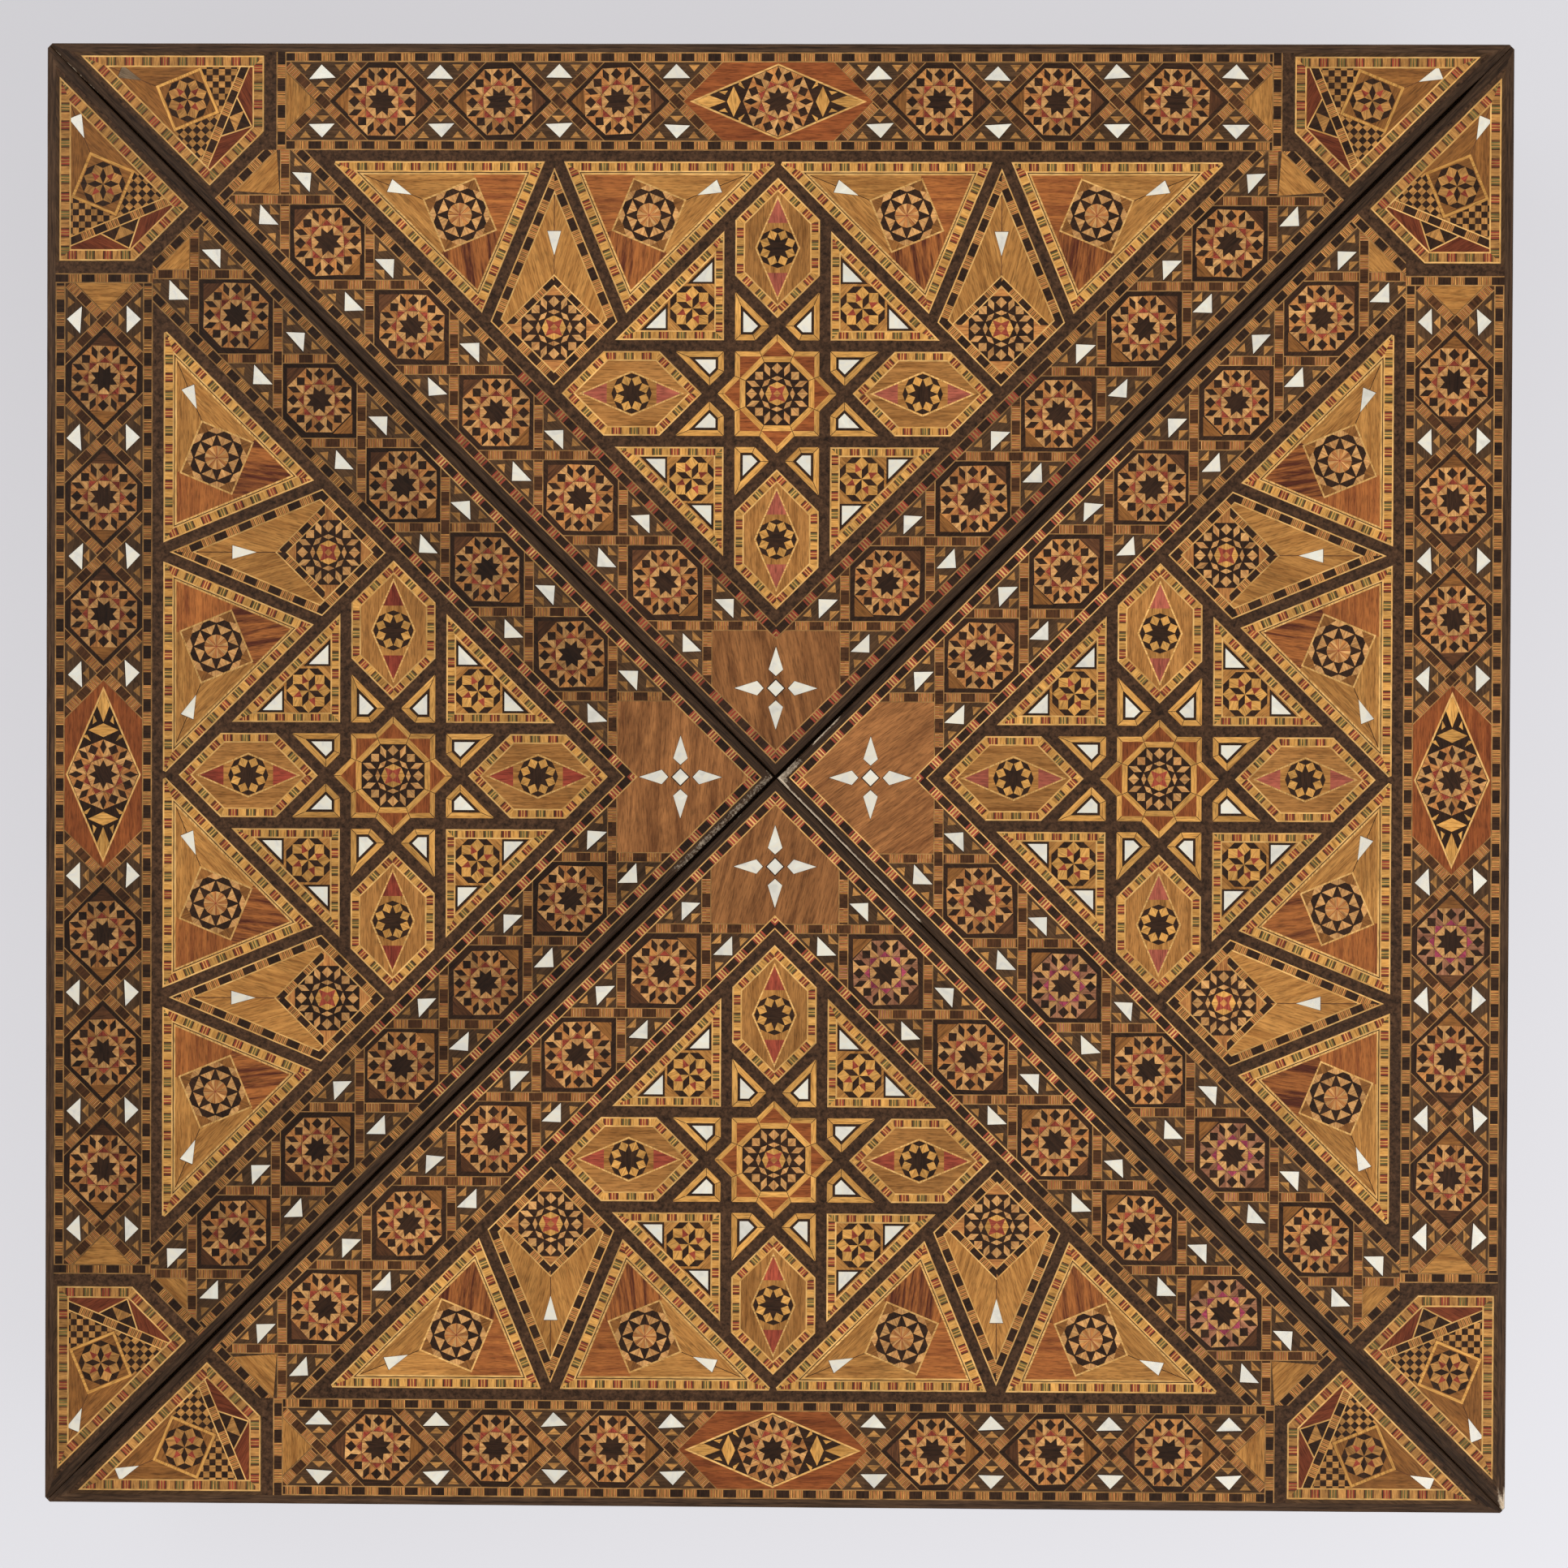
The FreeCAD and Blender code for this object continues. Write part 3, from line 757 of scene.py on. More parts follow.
# Materials
def linear(hex_colour):
    """sRGB hex value as a linear colour."""
    channels = [int(hex_colour[k:k + 2], 16) / 255 for k in (1, 3, 5)]
    return tuple(c / 12.92 if c <= 0.04045 else ((c + 0.055) / 1.055) ** 2.4 for c in channels) + (1.0,)


def add_node(tree, kind, settings=None, inputs=None, links=None):
    """Node with its settings, input values and links."""
    node = tree.nodes.new(kind)
    for name, value in (settings or {}).items():
        setattr(node, name, value)
    for socket, value in (inputs or {}).items():
        node.inputs[socket].default_value = value
    for socket, source in (links or {}).items():
        tree.links.new(source, node.inputs[socket])
    return node


def new_material(name):
    """Empty material with a principled shader and an output."""
    material = bpy.data.materials.new(name)
    material.use_nodes = True
    tree = material.node_tree
    tree.nodes.clear()
    shader = add_node(tree, "ShaderNodeBsdfPrincipled")
    add_node(tree, "ShaderNodeOutputMaterial", links={"Surface": shader.outputs["BSDF"]})
    return material, tree, shader


def wood(name, pale, deep, grain_mm, tiled=True, along="x", tone=0.16, stripes=0.0, swirl=0.5, stretch=0.07,
         grime=0.0, bare_and_highlight=None):
    """Sawn wood under old shellac: grain streaks, fine pores, worn patina and a satin sheen."""
    material, tree, shader = new_material(name)
    if tiled:
        place = add_node(tree, "ShaderNodeAttribute", {"attribute_name": "grain"}).outputs["Vector"]
        unit = 1.0
    else:
        place = add_node(tree, "ShaderNodeTexCoord").outputs["Object"]
        unit = 1.0 / mm
    spread = {
        "x": (stretch, 1, 1), "y": (1, stretch, 1), "z": (1, 1, stretch), "all": (0.5, 0.5, 0.5),
    }[along]
    streaks = add_node(
        tree, "ShaderNodeMapping",
        inputs={"Scale": [part * unit / grain_mm for part in spread]}, links={"Vector": place},
    )
    figure = add_node(
        tree, "ShaderNodeTexNoise",
        inputs={"Scale": 1.0, "Detail": 6.0, "Roughness": 0.68, "Distortion": swirl},
        links={"Vector": streaks.outputs["Vector"]},
    )
    # Pores are about 0.1 mm in life, and drawn at 0.4 mm so that they show
    fine = add_node(
        tree, "ShaderNodeMapping",
        inputs={"Scale": [max(part, 0.12) * unit / 0.4 for part in spread]}, links={"Vector": place},
    )
    pores = add_node(
        tree, "ShaderNodeTexNoise", inputs={"Scale": 1.0, "Detail": 2.0},
        links={"Vector": fine.outputs["Vector"]},
    )
    share = add_node(
        tree, "ShaderNodeMapRange",
        inputs={"From Min": 0.36 + stripes, "From Max": 0.66 - stripes},
        links={"Value": figure.outputs["Fac"]},
    )
    colour = add_node(
        tree, "ShaderNodeMix", {"data_type": "RGBA"}, {6: linear(pale), 7: linear(deep)},
        {0: share.outputs["Result"]},
    )
    pits = add_node(
        tree, "ShaderNodeMapRange",
        inputs={"From Min": 0.3, "From Max": 0.55, "To Min": 0.58, "To Max": 1.08},
        links={"Value": pores.outputs["Fac"]},
    )
    spot = add_node(tree, "ShaderNodeTexCoord").outputs["Object"]
    tinted = colour.outputs[2]
    if grime:
        # Old dirt in the open joints and dents, in spots of about 4 mm
        spots = add_node(
            tree, "ShaderNodeTexNoise", inputs={"Scale": 1.0 / (4 * mm), "Detail": 8.0, "Roughness": 0.75},
            links={"Vector": spot},
        )
        dirty = add_node(
            tree, "ShaderNodeMapRange", inputs={"From Min": 0.38, "From Max": 0.68, "To Max": grime},
            links={"Value": spots.outputs["Fac"]},
        )
        tinted = add_node(
            tree, "ShaderNodeMix", {"data_type": "RGBA"}, {7: linear("#4A3320")},
            {0: dirty.outputs["Result"], 6: tinted},
        ).outputs[2]
    own = add_node(
        tree, "ShaderNodeMapRange", {"clamp": False},
        inputs={"From Min": -1.0, "From Max": 1.0, "To Min": 1.0 - tone, "To Max": 1.0 + tone},
        links={"Value": add_node(tree, "ShaderNodeAttribute", {"attribute_name": "tone"}).outputs["Fac"]},
    )
    # Patina: hand wear in patches of about 25 mm
    patches = add_node(
        tree, "ShaderNodeTexNoise", inputs={"Scale": 1.0 / (25 * mm), "Detail": 6.0, "Roughness": 0.68},
        links={"Vector": spot},
    )
    worn = add_node(
        tree, "ShaderNodeMapRange",
        inputs={"From Min": 0.3, "From Max": 0.7, "To Min": 0.8, "To Max": 1.1},
        links={"Value": patches.outputs["Fac"]},
    )
    first = add_node(
        tree, "ShaderNodeMath", {"operation": "MULTIPLY"},
        links={0: pits.outputs["Result"], 1: own.outputs["Result"]},
    )
    both = add_node(
        tree, "ShaderNodeMath", {"operation": "MULTIPLY"},
        links={0: first.outputs["Value"], 1: worn.outputs["Result"]},
    )
    shade = add_node(
        tree, "ShaderNodeHueSaturation", links={"Color": tinted, "Value": both.outputs["Value"]},
    )
    sheen = add_node(
        tree, "ShaderNodeMapRange",
        inputs={"From Min": 0.3, "From Max": 0.7, "To Min": 0.4, "To Max": 0.6},
        links={"Value": patches.outputs["Fac"]},
    )
    relief = add_node(
        tree, "ShaderNodeBump", inputs={"Strength": 0.35, "Distance": 0.06 * mm},
        links={"Height": pores.outputs["Fac"]},
    )
    finish = shade.outputs["Color"]
    if bare_and_highlight:
        # Rubbed and chipped places, with painted highlights along the seam edges, all in the pale colour
        # broken up at about 1 mm; whole where the attribute is 2, none where it is 0
        scuffs = add_node(
            tree, "ShaderNodeTexNoise", inputs={"Scale": 1.0 / mm, "Detail": 4.0, "Roughness": 0.7},
            links={"Vector": spot},
        )
        rubbed = add_node(
            tree, "ShaderNodeMapRange", inputs={"From Min": 0.2, "From Max": 0.8},
            links={"Value": scuffs.outputs["Fac"]},
        )
        summed = add_node(
            tree, "ShaderNodeMath", {"operation": "ADD"},
            links={
                0: rubbed.outputs["Result"],
                1: add_node(tree, "ShaderNodeAttribute", {"attribute_name": "bare_and_highlight"}).outputs["Fac"],
            },
        )
        mask = add_node(
            tree, "ShaderNodeMapRange", inputs={"From Min": 1.0, "From Max": 1.9},
            links={"Value": summed.outputs["Value"]},
        )
        finish = add_node(
            tree, "ShaderNodeMix", {"data_type": "RGBA"}, {7: linear(bare_and_highlight)},
            {0: mask.outputs["Result"], 6: finish},
        ).outputs[2]
    tree.links.new(finish, shader.inputs["Base Color"])
    tree.links.new(sheen.outputs["Result"], shader.inputs["Roughness"])
    tree.links.new(relief.outputs["Normal"], shader.inputs["Normal"])
    shader.inputs["IOR"].default_value = 1.48
    shader.inputs["Specular IOR Level"].default_value = 0.1
    return material


def pearl_shell():
    """Polished mother-of-pearl: pale silver layers with faint pink and green clouds."""
    material, tree, shader = new_material("mother_of_pearl_polished")
    place = add_node(tree, "ShaderNodeAttribute", {"attribute_name": "grain"}).outputs["Vector"]
    # Clouds of about 5 mm; the place is in millimetres
    clouds = add_node(
        tree, "ShaderNodeTexNoise", inputs={"Scale": 1.0 / 5.0, "Detail": 3.0, "Distortion": 1.2},
        links={"Vector": place},
    )
    ramp = add_node(tree, "ShaderNodeValToRGB", links={"Fac": clouds.outputs["Fac"]})
    layers = ramp.color_ramp.elements
    layers[0].position = 0.3
    layers[0].color = linear("#CFCEC9")
    layers[1].position = 0.72
    layers[1].color = linear("#ECE8DE")
    for spot, shade in ((0.42, "#DAD9D6"), (0.52, "#E3DED2"), (0.62, "#DEE0DC")):
        layers.new(spot).color = linear(shade)
    own = add_node(
        tree, "ShaderNodeMapRange",
        inputs={"From Min": -1.0, "From Max": 1.0, "To Min": 0.9, "To Max": 1.06},
        links={"Value": add_node(tree, "ShaderNodeAttribute", {"attribute_name": "tone"}).outputs["Fac"]},
    )
    aged = add_node(
        tree, "ShaderNodeMix", {"data_type": "RGBA", "blend_type": "MULTIPLY"}, {7: linear("#FDF8EC")},
        {0: own.outputs["Result"], 6: ramp.outputs["Color"]},
    )
    shade = add_node(
        tree, "ShaderNodeHueSaturation",
        links={"Color": aged.outputs[2], "Value": own.outputs["Result"]},
    )
    relief = add_node(
        tree, "ShaderNodeBump", inputs={"Strength": 0.15, "Distance": 0.05 * mm},
        links={"Height": clouds.outputs["Fac"]},
    )
    tree.links.new(shade.outputs["Color"], shader.inputs["Base Color"])
    tree.links.new(relief.outputs["Normal"], shader.inputs["Normal"])
    shader.inputs["Roughness"].default_value = 0.24
    shader.inputs["IOR"].default_value = 1.6
    shader.inputs["Coat Weight"].default_value = 0.25
    shader.inputs["Coat Roughness"].default_value = 0.15
    return material


def pile_cloth(name, pale, deep, thread_mm, sheen):
    """Cloth with a pile: soft shading that brightens at a glancing angle, with a fine nap."""
    material, tree, shader = new_material(name)
    place = add_node(tree, "ShaderNodeTexCoord").outputs["Object"]
    # Pile brushed this way and that in patches of about 18 mm
    brushed = add_node(
        tree, "ShaderNodeTexNoise", inputs={"Scale": 1.0 / (18 * mm), "Detail": 4.0},
        links={"Vector": place},
    )
    nap = add_node(
        tree, "ShaderNodeTexNoise", inputs={"Scale": 1.0 / (thread_mm * mm), "Detail": 2.0},
        links={"Vector": place},
    )
    blend = add_node(
        tree, "ShaderNodeMath", {"operation": "MULTIPLY_ADD"}, {1: 0.45},
        {0: nap.outputs["Fac"], 2: brushed.outputs["Fac"]},
    )
    share = add_node(
        tree, "ShaderNodeMapRange", inputs={"From Min": 0.4, "From Max": 1.05},
        links={"Value": blend.outputs["Value"]},
    )
    colour = add_node(
        tree, "ShaderNodeMix", {"data_type": "RGBA"}, {6: linear(pale), 7: linear(deep)},
        {0: share.outputs["Result"]},
    )
    relief = add_node(
        tree, "ShaderNodeBump", inputs={"Strength": 0.5, "Distance": 0.25 * mm},
        links={"Height": nap.outputs["Fac"]},
    )
    tree.links.new(colour.outputs[2], shader.inputs["Base Color"])
    tree.links.new(relief.outputs["Normal"], shader.inputs["Normal"])
    shader.inputs["Roughness"].default_value = 0.9
    shader.inputs["Sheen Weight"].default_value = sheen
    shader.inputs["Sheen Roughness"].default_value = 0.4
    shader.inputs["Sheen Tint"].default_value = linear(pale)
    shader.inputs["Specular IOR Level"].default_value = 0.1
    return material


def aged_brass():
    """Cast and filed brass, browned by age: warm metal, duller in patches, with file marks."""
    material, tree, shader = new_material("brass_filed_aged")
    place = add_node(tree, "ShaderNodeTexCoord").outputs["Object"]
    # Tarnish in patches of about 5 mm, and file marks about 10 mm long and 0.3 mm wide
    tarnish = add_node(
        tree, "ShaderNodeTexNoise", inputs={"Scale": 1.0 / (5 * mm), "Detail": 5.0, "Roughness": 0.65},
        links={"Vector": place},
    )
    marks = add_node(
        tree, "ShaderNodeMapping", inputs={"Scale": [1.0 / (size * mm) for size in (10.0, 0.3, 0.3)]},
        links={"Vector": place},
    )
    filed = add_node(
        tree, "ShaderNodeTexNoise", inputs={"Scale": 1.0}, links={"Vector": marks.outputs["Vector"]},
    )
    colour = add_node(
        tree, "ShaderNodeMix", {"data_type": "RGBA"}, {6: linear("#C79A4E"), 7: linear("#7C5A2C")},
        {0: tarnish.outputs["Fac"]},
    )
    dull = add_node(
        tree, "ShaderNodeMapRange",
        inputs={"From Min": 0.3, "From Max": 0.7, "To Min": 0.26, "To Max": 0.5},
        links={"Value": tarnish.outputs["Fac"]},
    )
    relief = add_node(
        tree, "ShaderNodeBump", inputs={"Strength": 0.25, "Distance": 0.04 * mm},
        links={"Height": filed.outputs["Fac"]},
    )
    tree.links.new(colour.outputs[2], shader.inputs["Base Color"])
    tree.links.new(dull.outputs["Result"], shader.inputs["Roughness"])
    tree.links.new(relief.outputs["Normal"], shader.inputs["Normal"])
    shader.inputs["Metallic"].default_value = 1.0
    return material


woods = {
    "boxwood": wood("boxwood_line", "#E4B46E", "#C08A46", 1.2),
    "boxwood_worn": wood("boxwood_line_worn", "#BC8C52", "#8C6236", 0.8, grime=0.5),
    "lemon": wood("lemonwood_veneer", "#DAA256", "#B8803C", 1.6, tone=0.2, grime=0.15),
    "amber": wood("lemonwood_veneer_worn", "#C68E4C", "#9A6836", 1.4, tone=0.22, grime=0.35),
    "pear": wood("pear_veneer_pale", "#D8A364", "#AE7643", 1.4, tone=0.2, grime=0.2),
    "satinwood": wood("satinwood_veneer", "#BC8444", "#8C5A29", 2.0, tone=0.12),
    "satinwood_dull": wood("satinwood_veneer_aged", "#9A6430", "#744822", 2.0, tone=0.1, grime=0.25),
    "olivewood": wood("olivewood_veneer", "#B47C41", "#865627", 2.2, tone=0.1),
    "padauk": wood("padauk_veneer", "#B06A34", "#7A4020", 2.6, tone=0.1),
    "padauk_deep": wood("padauk_veneer_dark", "#9A5429", "#70371B", 2.4, tone=0.1),
    "padauk_striped": wood("padauk_veneer_striped", "#A2602F", "#542718", 2.4, tone=0.06, stripes=0.06),
    "walnut_field": wood("walnut_veneer_plain", "#9C6639", "#633B1E", 6.0, tone=0.2, swirl=1.4, stretch=0.1),
    "walnut": wood("walnut_veneer_stained", "#593F28", "#392616", 1.5, tone=0.12, grime=0.3),
    "umber": wood("walnut_veneer_dark", "#56341C", "#38200F", 1.2, tone=0.2, grime=0.2),
    "ebonised": wood("pearwood_ebonised", "#372215", "#22140B", 1.2, tone=0.2, grime=0.2),
    "plum": wood("plumwood_veneer", "#684025", "#442818", 1.0, tone=0.25, grime=0.3),
    "rosewood": wood("rosewood_veneer", "#7A3C22", "#562616", 1.6, tone=0.1),
    "rose": wood("pear_veneer_rosy", "#C88849", "#9C6034", 1.5, tone=0.2, grime=0.15),
    "rose_bled": wood("pear_veneer_dye_bled", "#B27B58", "#88543C", 1.5, tone=0.18, grime=0.3),
    "red": wood("sycamore_dyed_red", "#AE5038", "#843629", 1.2, tone=0.16, grime=0.15),
    "red_worn": wood("sycamore_dyed_red_worn", "#A34632", "#782D20", 1.2, tone=0.26, grime=0.25),
    "crimson": wood("sycamore_dyed_crimson", "#A84258", "#7E2C40", 1.2, tone=0.26, grime=0.2),
    "pink": wood("sycamore_dyed_pink", "#B4604A", "#8E4536", 1.6, tone=0.14, grime=0.15),
    "olive": wood("sycamore_dyed_green", "#766A38", "#564C28", 1.2, tone=0.15),
    "filler": wood("wax_filler_grey", "#7C6750", "#66533F", 1.0),
    "pearl": pearl_shell(),
}
# Its pale colour is bare wood at chips and rubs, and a painted highlight on the seam edges; the darker tone
# beside the seams is painted shade
lipping = wood("walnut_lipping_worn", "#58402D", "#281A11", 1.2, tone=0.14, bare_and_highlight="#D6C2A8")
stringing_wood = wood("walnut_stringing_stained", "#563B27", "#27180E", 1.0, tiled=False, along="all")
case_woods = {
    "x": wood("walnut_board_along", "#5B4232", "#3E2B20", 3.0, tiled=False, along="x"),
    "y": wood("walnut_board_across", "#5B4232", "#3E2B20", 3.0, tiled=False, along="y"),
    "z": wood("beech_tongue", "#B28A5E", "#94693F", 2.0, tiled=False, along="z"),
}
brass = aged_brass()
velvet = pile_cloth("cotton_velvet_cut_pile", "#7A2029", "#4E141B", 0.7, 0.5)
felt = pile_cloth("wool_felt_pressed", "#33463A", "#243229", 1.1, 0.3)


# CAD nodes that keep their own shape
def cover(node, material):
    """One material over a whole node."""
    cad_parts[node].data.materials.clear()
    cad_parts[node].data.materials.append(material)


for name, degrees in sides.items():
    along = "x" if degrees % 180 == 0 else "y"
    cover("leaf_" + name + "_stringing", stringing_wood)
    cover("leaf_" + name + "_core", case_woods[along])
    cover("leaf_" + name + "_hinge_plates", brass)
    cover("hinge_wall_plates_" + name, brass)
    cover("wall_" + name, case_woods[along])
cover("mitre_splines", case_woods["z"])
cover("floor_panel", case_woods["x"])
cover("divider_lower", case_woods["x"])
cover("divider_upper", case_woods["y"])


# Pieces
def new_piece(name, mesh, body, nodes=()):
    """Object on a body and the CAD nodes that it stands for."""
    piece = bpy.data.objects.new(name, mesh)
    bpy.context.scene.collection.objects.link(piece)
    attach(piece, body)
    if nodes:
        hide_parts(*nodes)
    return piece


# Veneer of the four tips: direction in degrees, and how light it is
tip_veneer = {"front": (-14, 0.2), "right": (35, 1.7), "back": (10, -0.1), "left": (88, 0.7)}
# How light the marquetry of each leaf is, in its strips and in the rest
leaf_shade = {"front": (0.0, 0.3), "right": (0.2, 0.3), "back": (0.0, 0.3), "left": (-1.4, -0.4)}
# Woods that have aged differently on one leaf, in its strips and in the rest
leaf_woods = {
    "front": ({}, {"pink": "red"}),
    "right": ({}, {}),
    "back": ({"boxwood": "boxwood_worn", "red": "red_worn"}, {}),
    "left": ({}, {"pink": "red_worn"}),
}
# Medallions whose red dye has bled: their middles, and how far the dye has spread
bled_reach = 13.0
bled_spots = {"right": [(-72, 152), (-130, 96), (-54, 20)], "front": [(36, 182), (150, 66)]}
bled_woods = {"red_worn": "crimson", "rose": "rose_bled"}
# Corner whose pearl is lost, and filled
lost_pearl = "leaf_back_inlay_corner_right"
# Each piece is cut from its own place in a plank of this size, in millimetres
grain_spread = 400


def inlay_mesh(name, sheets, place, leaf=None):
    """Mesh of cut sheets, each closed below; place turns (u, v, depth) into a point."""
    chance = random.Random(name)
    area = 0 if any(part in name for part in ("strip", "diagonal", "tip")) else 1
    aged = leaf_woods[leaf][area] if leaf else {}
    shade = leaf_shade[leaf][area] if leaf else 0.0
    points = []
    faces = []
    kinds = []
    tones = []
    grain = []
    names = []
    for corners, shown, rim, tiles in sheets:
        start = len(points)
        points.extend(place(u, v, 0.0) for u, v in corners)
        below = {corner: len(points) + k for k, corner in enumerate(rim)}
        points.extend(place(corners[k][0], corners[k][1], inlay_thickness) for k in rim)
        own = []
        for number, (shape, kind, angle) in enumerate(tiles):
            if kind == "pearl" and name == lost_pearl:
                kind = "filler"
            kind = aged.get(kind, kind)
            middle = np.mean(shape, axis=0)
            if any(math.dist(middle, spot) < bled_reach for spot in bled_spots.get(leaf, ())):
                kind = bled_woods.get(kind, kind)
            if kind not in names:
                names.append(kind)
            offset = [chance.uniform(0, grain_spread) for _ in range(3)]
            tone = chance.uniform(-1, 1) + shade
            if number == 0 and name.endswith("_inlay_tip"):
                angle += tip_veneer[leaf][0]
                tone = tip_veneer[leaf][1]
            c, s = polar(1, angle)
            own.append((names.index(kind), tone, c, s, offset))
        for face, tile in shown:
            index, tone, c, s, offset = own[tile]
            faces.append([start + corner for corner in face])
            kinds.append(index)
            tones.append(tone)
            for corner in face:
                u, v = corners[corner]
                grain.extend((u * c + v * s + offset[0], v * c - u * s + offset[1], offset[2]))
        walls = [[start + a, below[a], below[b], start + b] for a, b in pairs(rim)]
        for face in walls + [[below[k] for k in reversed(rim)]]:
            faces.append(face)
            kinds.append(own[0][0])
            tones.append(0.0)
            grain.extend((0.0, 0.0, 0.0) * len(face))
    mesh = bpy.data.meshes.new(name)
    mesh.from_pydata(points, [], faces)
    for kind in names:
        mesh.materials.append(woods[kind])
    mesh.polygons.foreach_set("material_index", kinds)
    mesh.attributes.new("tone", "FLOAT", "FACE").data.foreach_set("value", tones)
    mesh.attributes.new("grain", "FLOAT_VECTOR", "CORNER").data.foreach_set("vector", grain)
    return mesh


def flat_map(mesh, axes):
    """Flat picture layout over the piece's face, for baking."""
    where = np.zeros(len(mesh.vertices) * 3)
    mesh.vertices.foreach_get("co", where)
    where = where.reshape(-1, 3)[:, axes]
    low = where.min(0)
    spread = (where.max(0) - low).max()
    corner = np.zeros(len(mesh.loops), dtype=int)
    mesh.loops.foreach_get("vertex_index", corner)
    layout = 0.004 + 0.992 * (where[corner] - low) / spread
    mesh.uv_layers.new(name="OFBake").data.foreach_set("uv", layout.ravel())


def turn_about(degrees):
    """Turning about the box's upright axis, as a function of a point in millimetres."""
    c, s = polar(mm, degrees)
    return lambda x, y, z: (x * c - y * s, x * s + y * c, z * mm)


def seam_sheets(first, last, petal_drop):
    """Sheets of a leaf's diagonal strips and tip, cut, by piece."""
    strip = diagonal_sheet(first, last)
    designs = {"diagonal_left": strip, "diagonal_right": mirrored(strip), "tip": tip_sheet(last, petal_drop)}
    return {name: [cut_sheet(tiles)] for name, tiles in designs.items()}


def leaf_sheets():
    """Other sheets of a leaf, cut, by piece."""
    designs = {name: [tiles] for name, tiles in strip_sheets().items()}
    corner = corner_sheet()
    designs["corner_left"] = [corner]
    designs["corner_right"] = [mirrored(corner)]
    panel = panel_sheet()
    left = [panel, mirrored(panel, kite_axis), kite_sheet()]
    designs["panels_left"] = left
    designs["panels_right"] = [mirrored(tiles) for tiles in left]
    designs["star"] = star_sheets()
    return {name: [cut_sheet(tiles) for tiles in sheets] for name, sheets in designs.items()}


piece_nodes = {
    "strip": "strips", "lozenge": "strips", "diagonal": "strips", "tip": "strips",
    "corner": "panels", "panels": "panels", "star": "star",
}
leaf_design = leaf_sheets()
# Strips beside the seams run further in on the front and back leaves, so their tips are smaller
narrow_tip = seam_sheets(17.3, 222.3, 25.8)
wide_tip = seam_sheets(13.4, 216.6, 27.8)
band_design = [cut_sheet(side_band_sheet())]
for name, degrees in sides.items():
    turn = turn_about(degrees)
    leaf = "leaf_" + name

    def on_leaf(u, v, depth):
        return turn(u, v - half, leaf_high - depth)

    def on_wall(x, y, depth):
        return turn(x, depth - case_half, (band_low + band_high) / 2 + y)

    seam_design = narrow_tip if degrees % 180 == 0 else wide_tip
    for part, sheets in (leaf_design | seam_design).items():
        title = leaf + "_inlay_" + part
        mesh = inlay_mesh(title, sheets, on_leaf, name)
        flat_map(mesh, [0, 1])
        group = leaf + "_" + piece_nodes[part.split("_")[0]]
        new_piece(title, mesh, leaf, (group, leaf + "_pearl"))
    title = "side_band_inlay_" + name
    mesh = inlay_mesh(title, band_design, on_wall)
    flat_map(mesh, [0, 2] if degrees % 180 == 0 else [1, 2])
    new_piece(title, mesh, "carcass", ("side_band_" + name,))


# Lipping: rounded by wear, a hair apart at the seams, with old chips, painted highlights on the seam edges
# and painted shade beside the seams
def seam_spot(run, depth, side):
    """Point beside a seam, this far from the leaf's tip and this deep inside the leaf."""
    return (side * (run - depth) / root_two, half - (run + depth) / root_two)


# Rubbed stretches of each leaf's lipping, pale from wear and chips and, on the seam edges, from painted
# highlights: start, end, reach, how deep it is sunk and how bare and highlit it is
lip_wear_and_highlight = {
    "front": [(seam_spot(2, 0.2, -1), seam_spot(24, 0.2, -1), 0.7, 0.1, 0.9)],
    "right": [
        (seam_spot(2.0, 1.7, 1), seam_spot(7.5, 2.0, 1), 4.4, 1.1, 1.1),
        # Thin pale lines on this leaf's seam edges: painted highlights as well as wear
        (seam_spot(18, 0.7, 1), seam_spot(30, 0.7, 1), 0.6, 0.15, 1.4),
        (seam_spot(0, 0.2, -1), seam_spot(70, 0.2, -1), 0.62, 0.15, 2.4),
        ((-248.6, 0.6), (-244.6, 0.8), 1.9, 0.8, 1.9),
    ],
    "back": [(seam_spot(325, 0.2, 1), seam_spot(350, 0.2, 1), 0.6, 0.1, 0.8)],
    "left": [(seam_spot(1, 1.7, 1), seam_spot(46, 1.7, 1), 2.6, 0.1, 0.75)],
}
# How far the left and right seams of each leaf have worn open
seam_open = {"front": (0.4, 0.0), "right": (0.0, 0.45), "back": (0.45, 0.2), "left": (0.2, 0.4)}
# Section of the lipping, from below, over the worn edge and down the inside: how far each line lies
# from the outer edge, from the seam and from the sharp corner, and how far below the top
lip_section = [
    (0.0, 0.15, 1.6, None), (0.0, 0.15, 1.6, 0.55), (0.16, 0.31, 1.95, 0.16), (0.5, 0.65, 2.7, 0.0),
    (0.95, 1.15, 4.3, 0.0), (1.9, 2.1, 7.2, 0.0), (lip_outer - 0.02, lip_seam - 0.02, 10.8, 0.0),
    (lip_outer - 0.02, lip_seam - 0.02, 10.8, None),
]
inner_line = len(lip_section) - 1
edge_lines = (1, 2)
seam_steps = 140
corner_steps = 2
outer_steps = 125
# Tone of the lipping beside the seams, darker as painted shade of the seam gaps and dirt, and on the outer
# edge
seam_shade_tone = -2.3
outer_tone = 0.4
# The lipping stands this far clear of the leaf's underside, and is bevelled below on the outer edge
lip_lift = 0.5
bevel_high = 4.8
bevel_deep = 3.2
bevel_inside = 1.4
# The seams close up towards the outer edge, over this run and from this far inside it
closing_from = 18
closing_run = 8


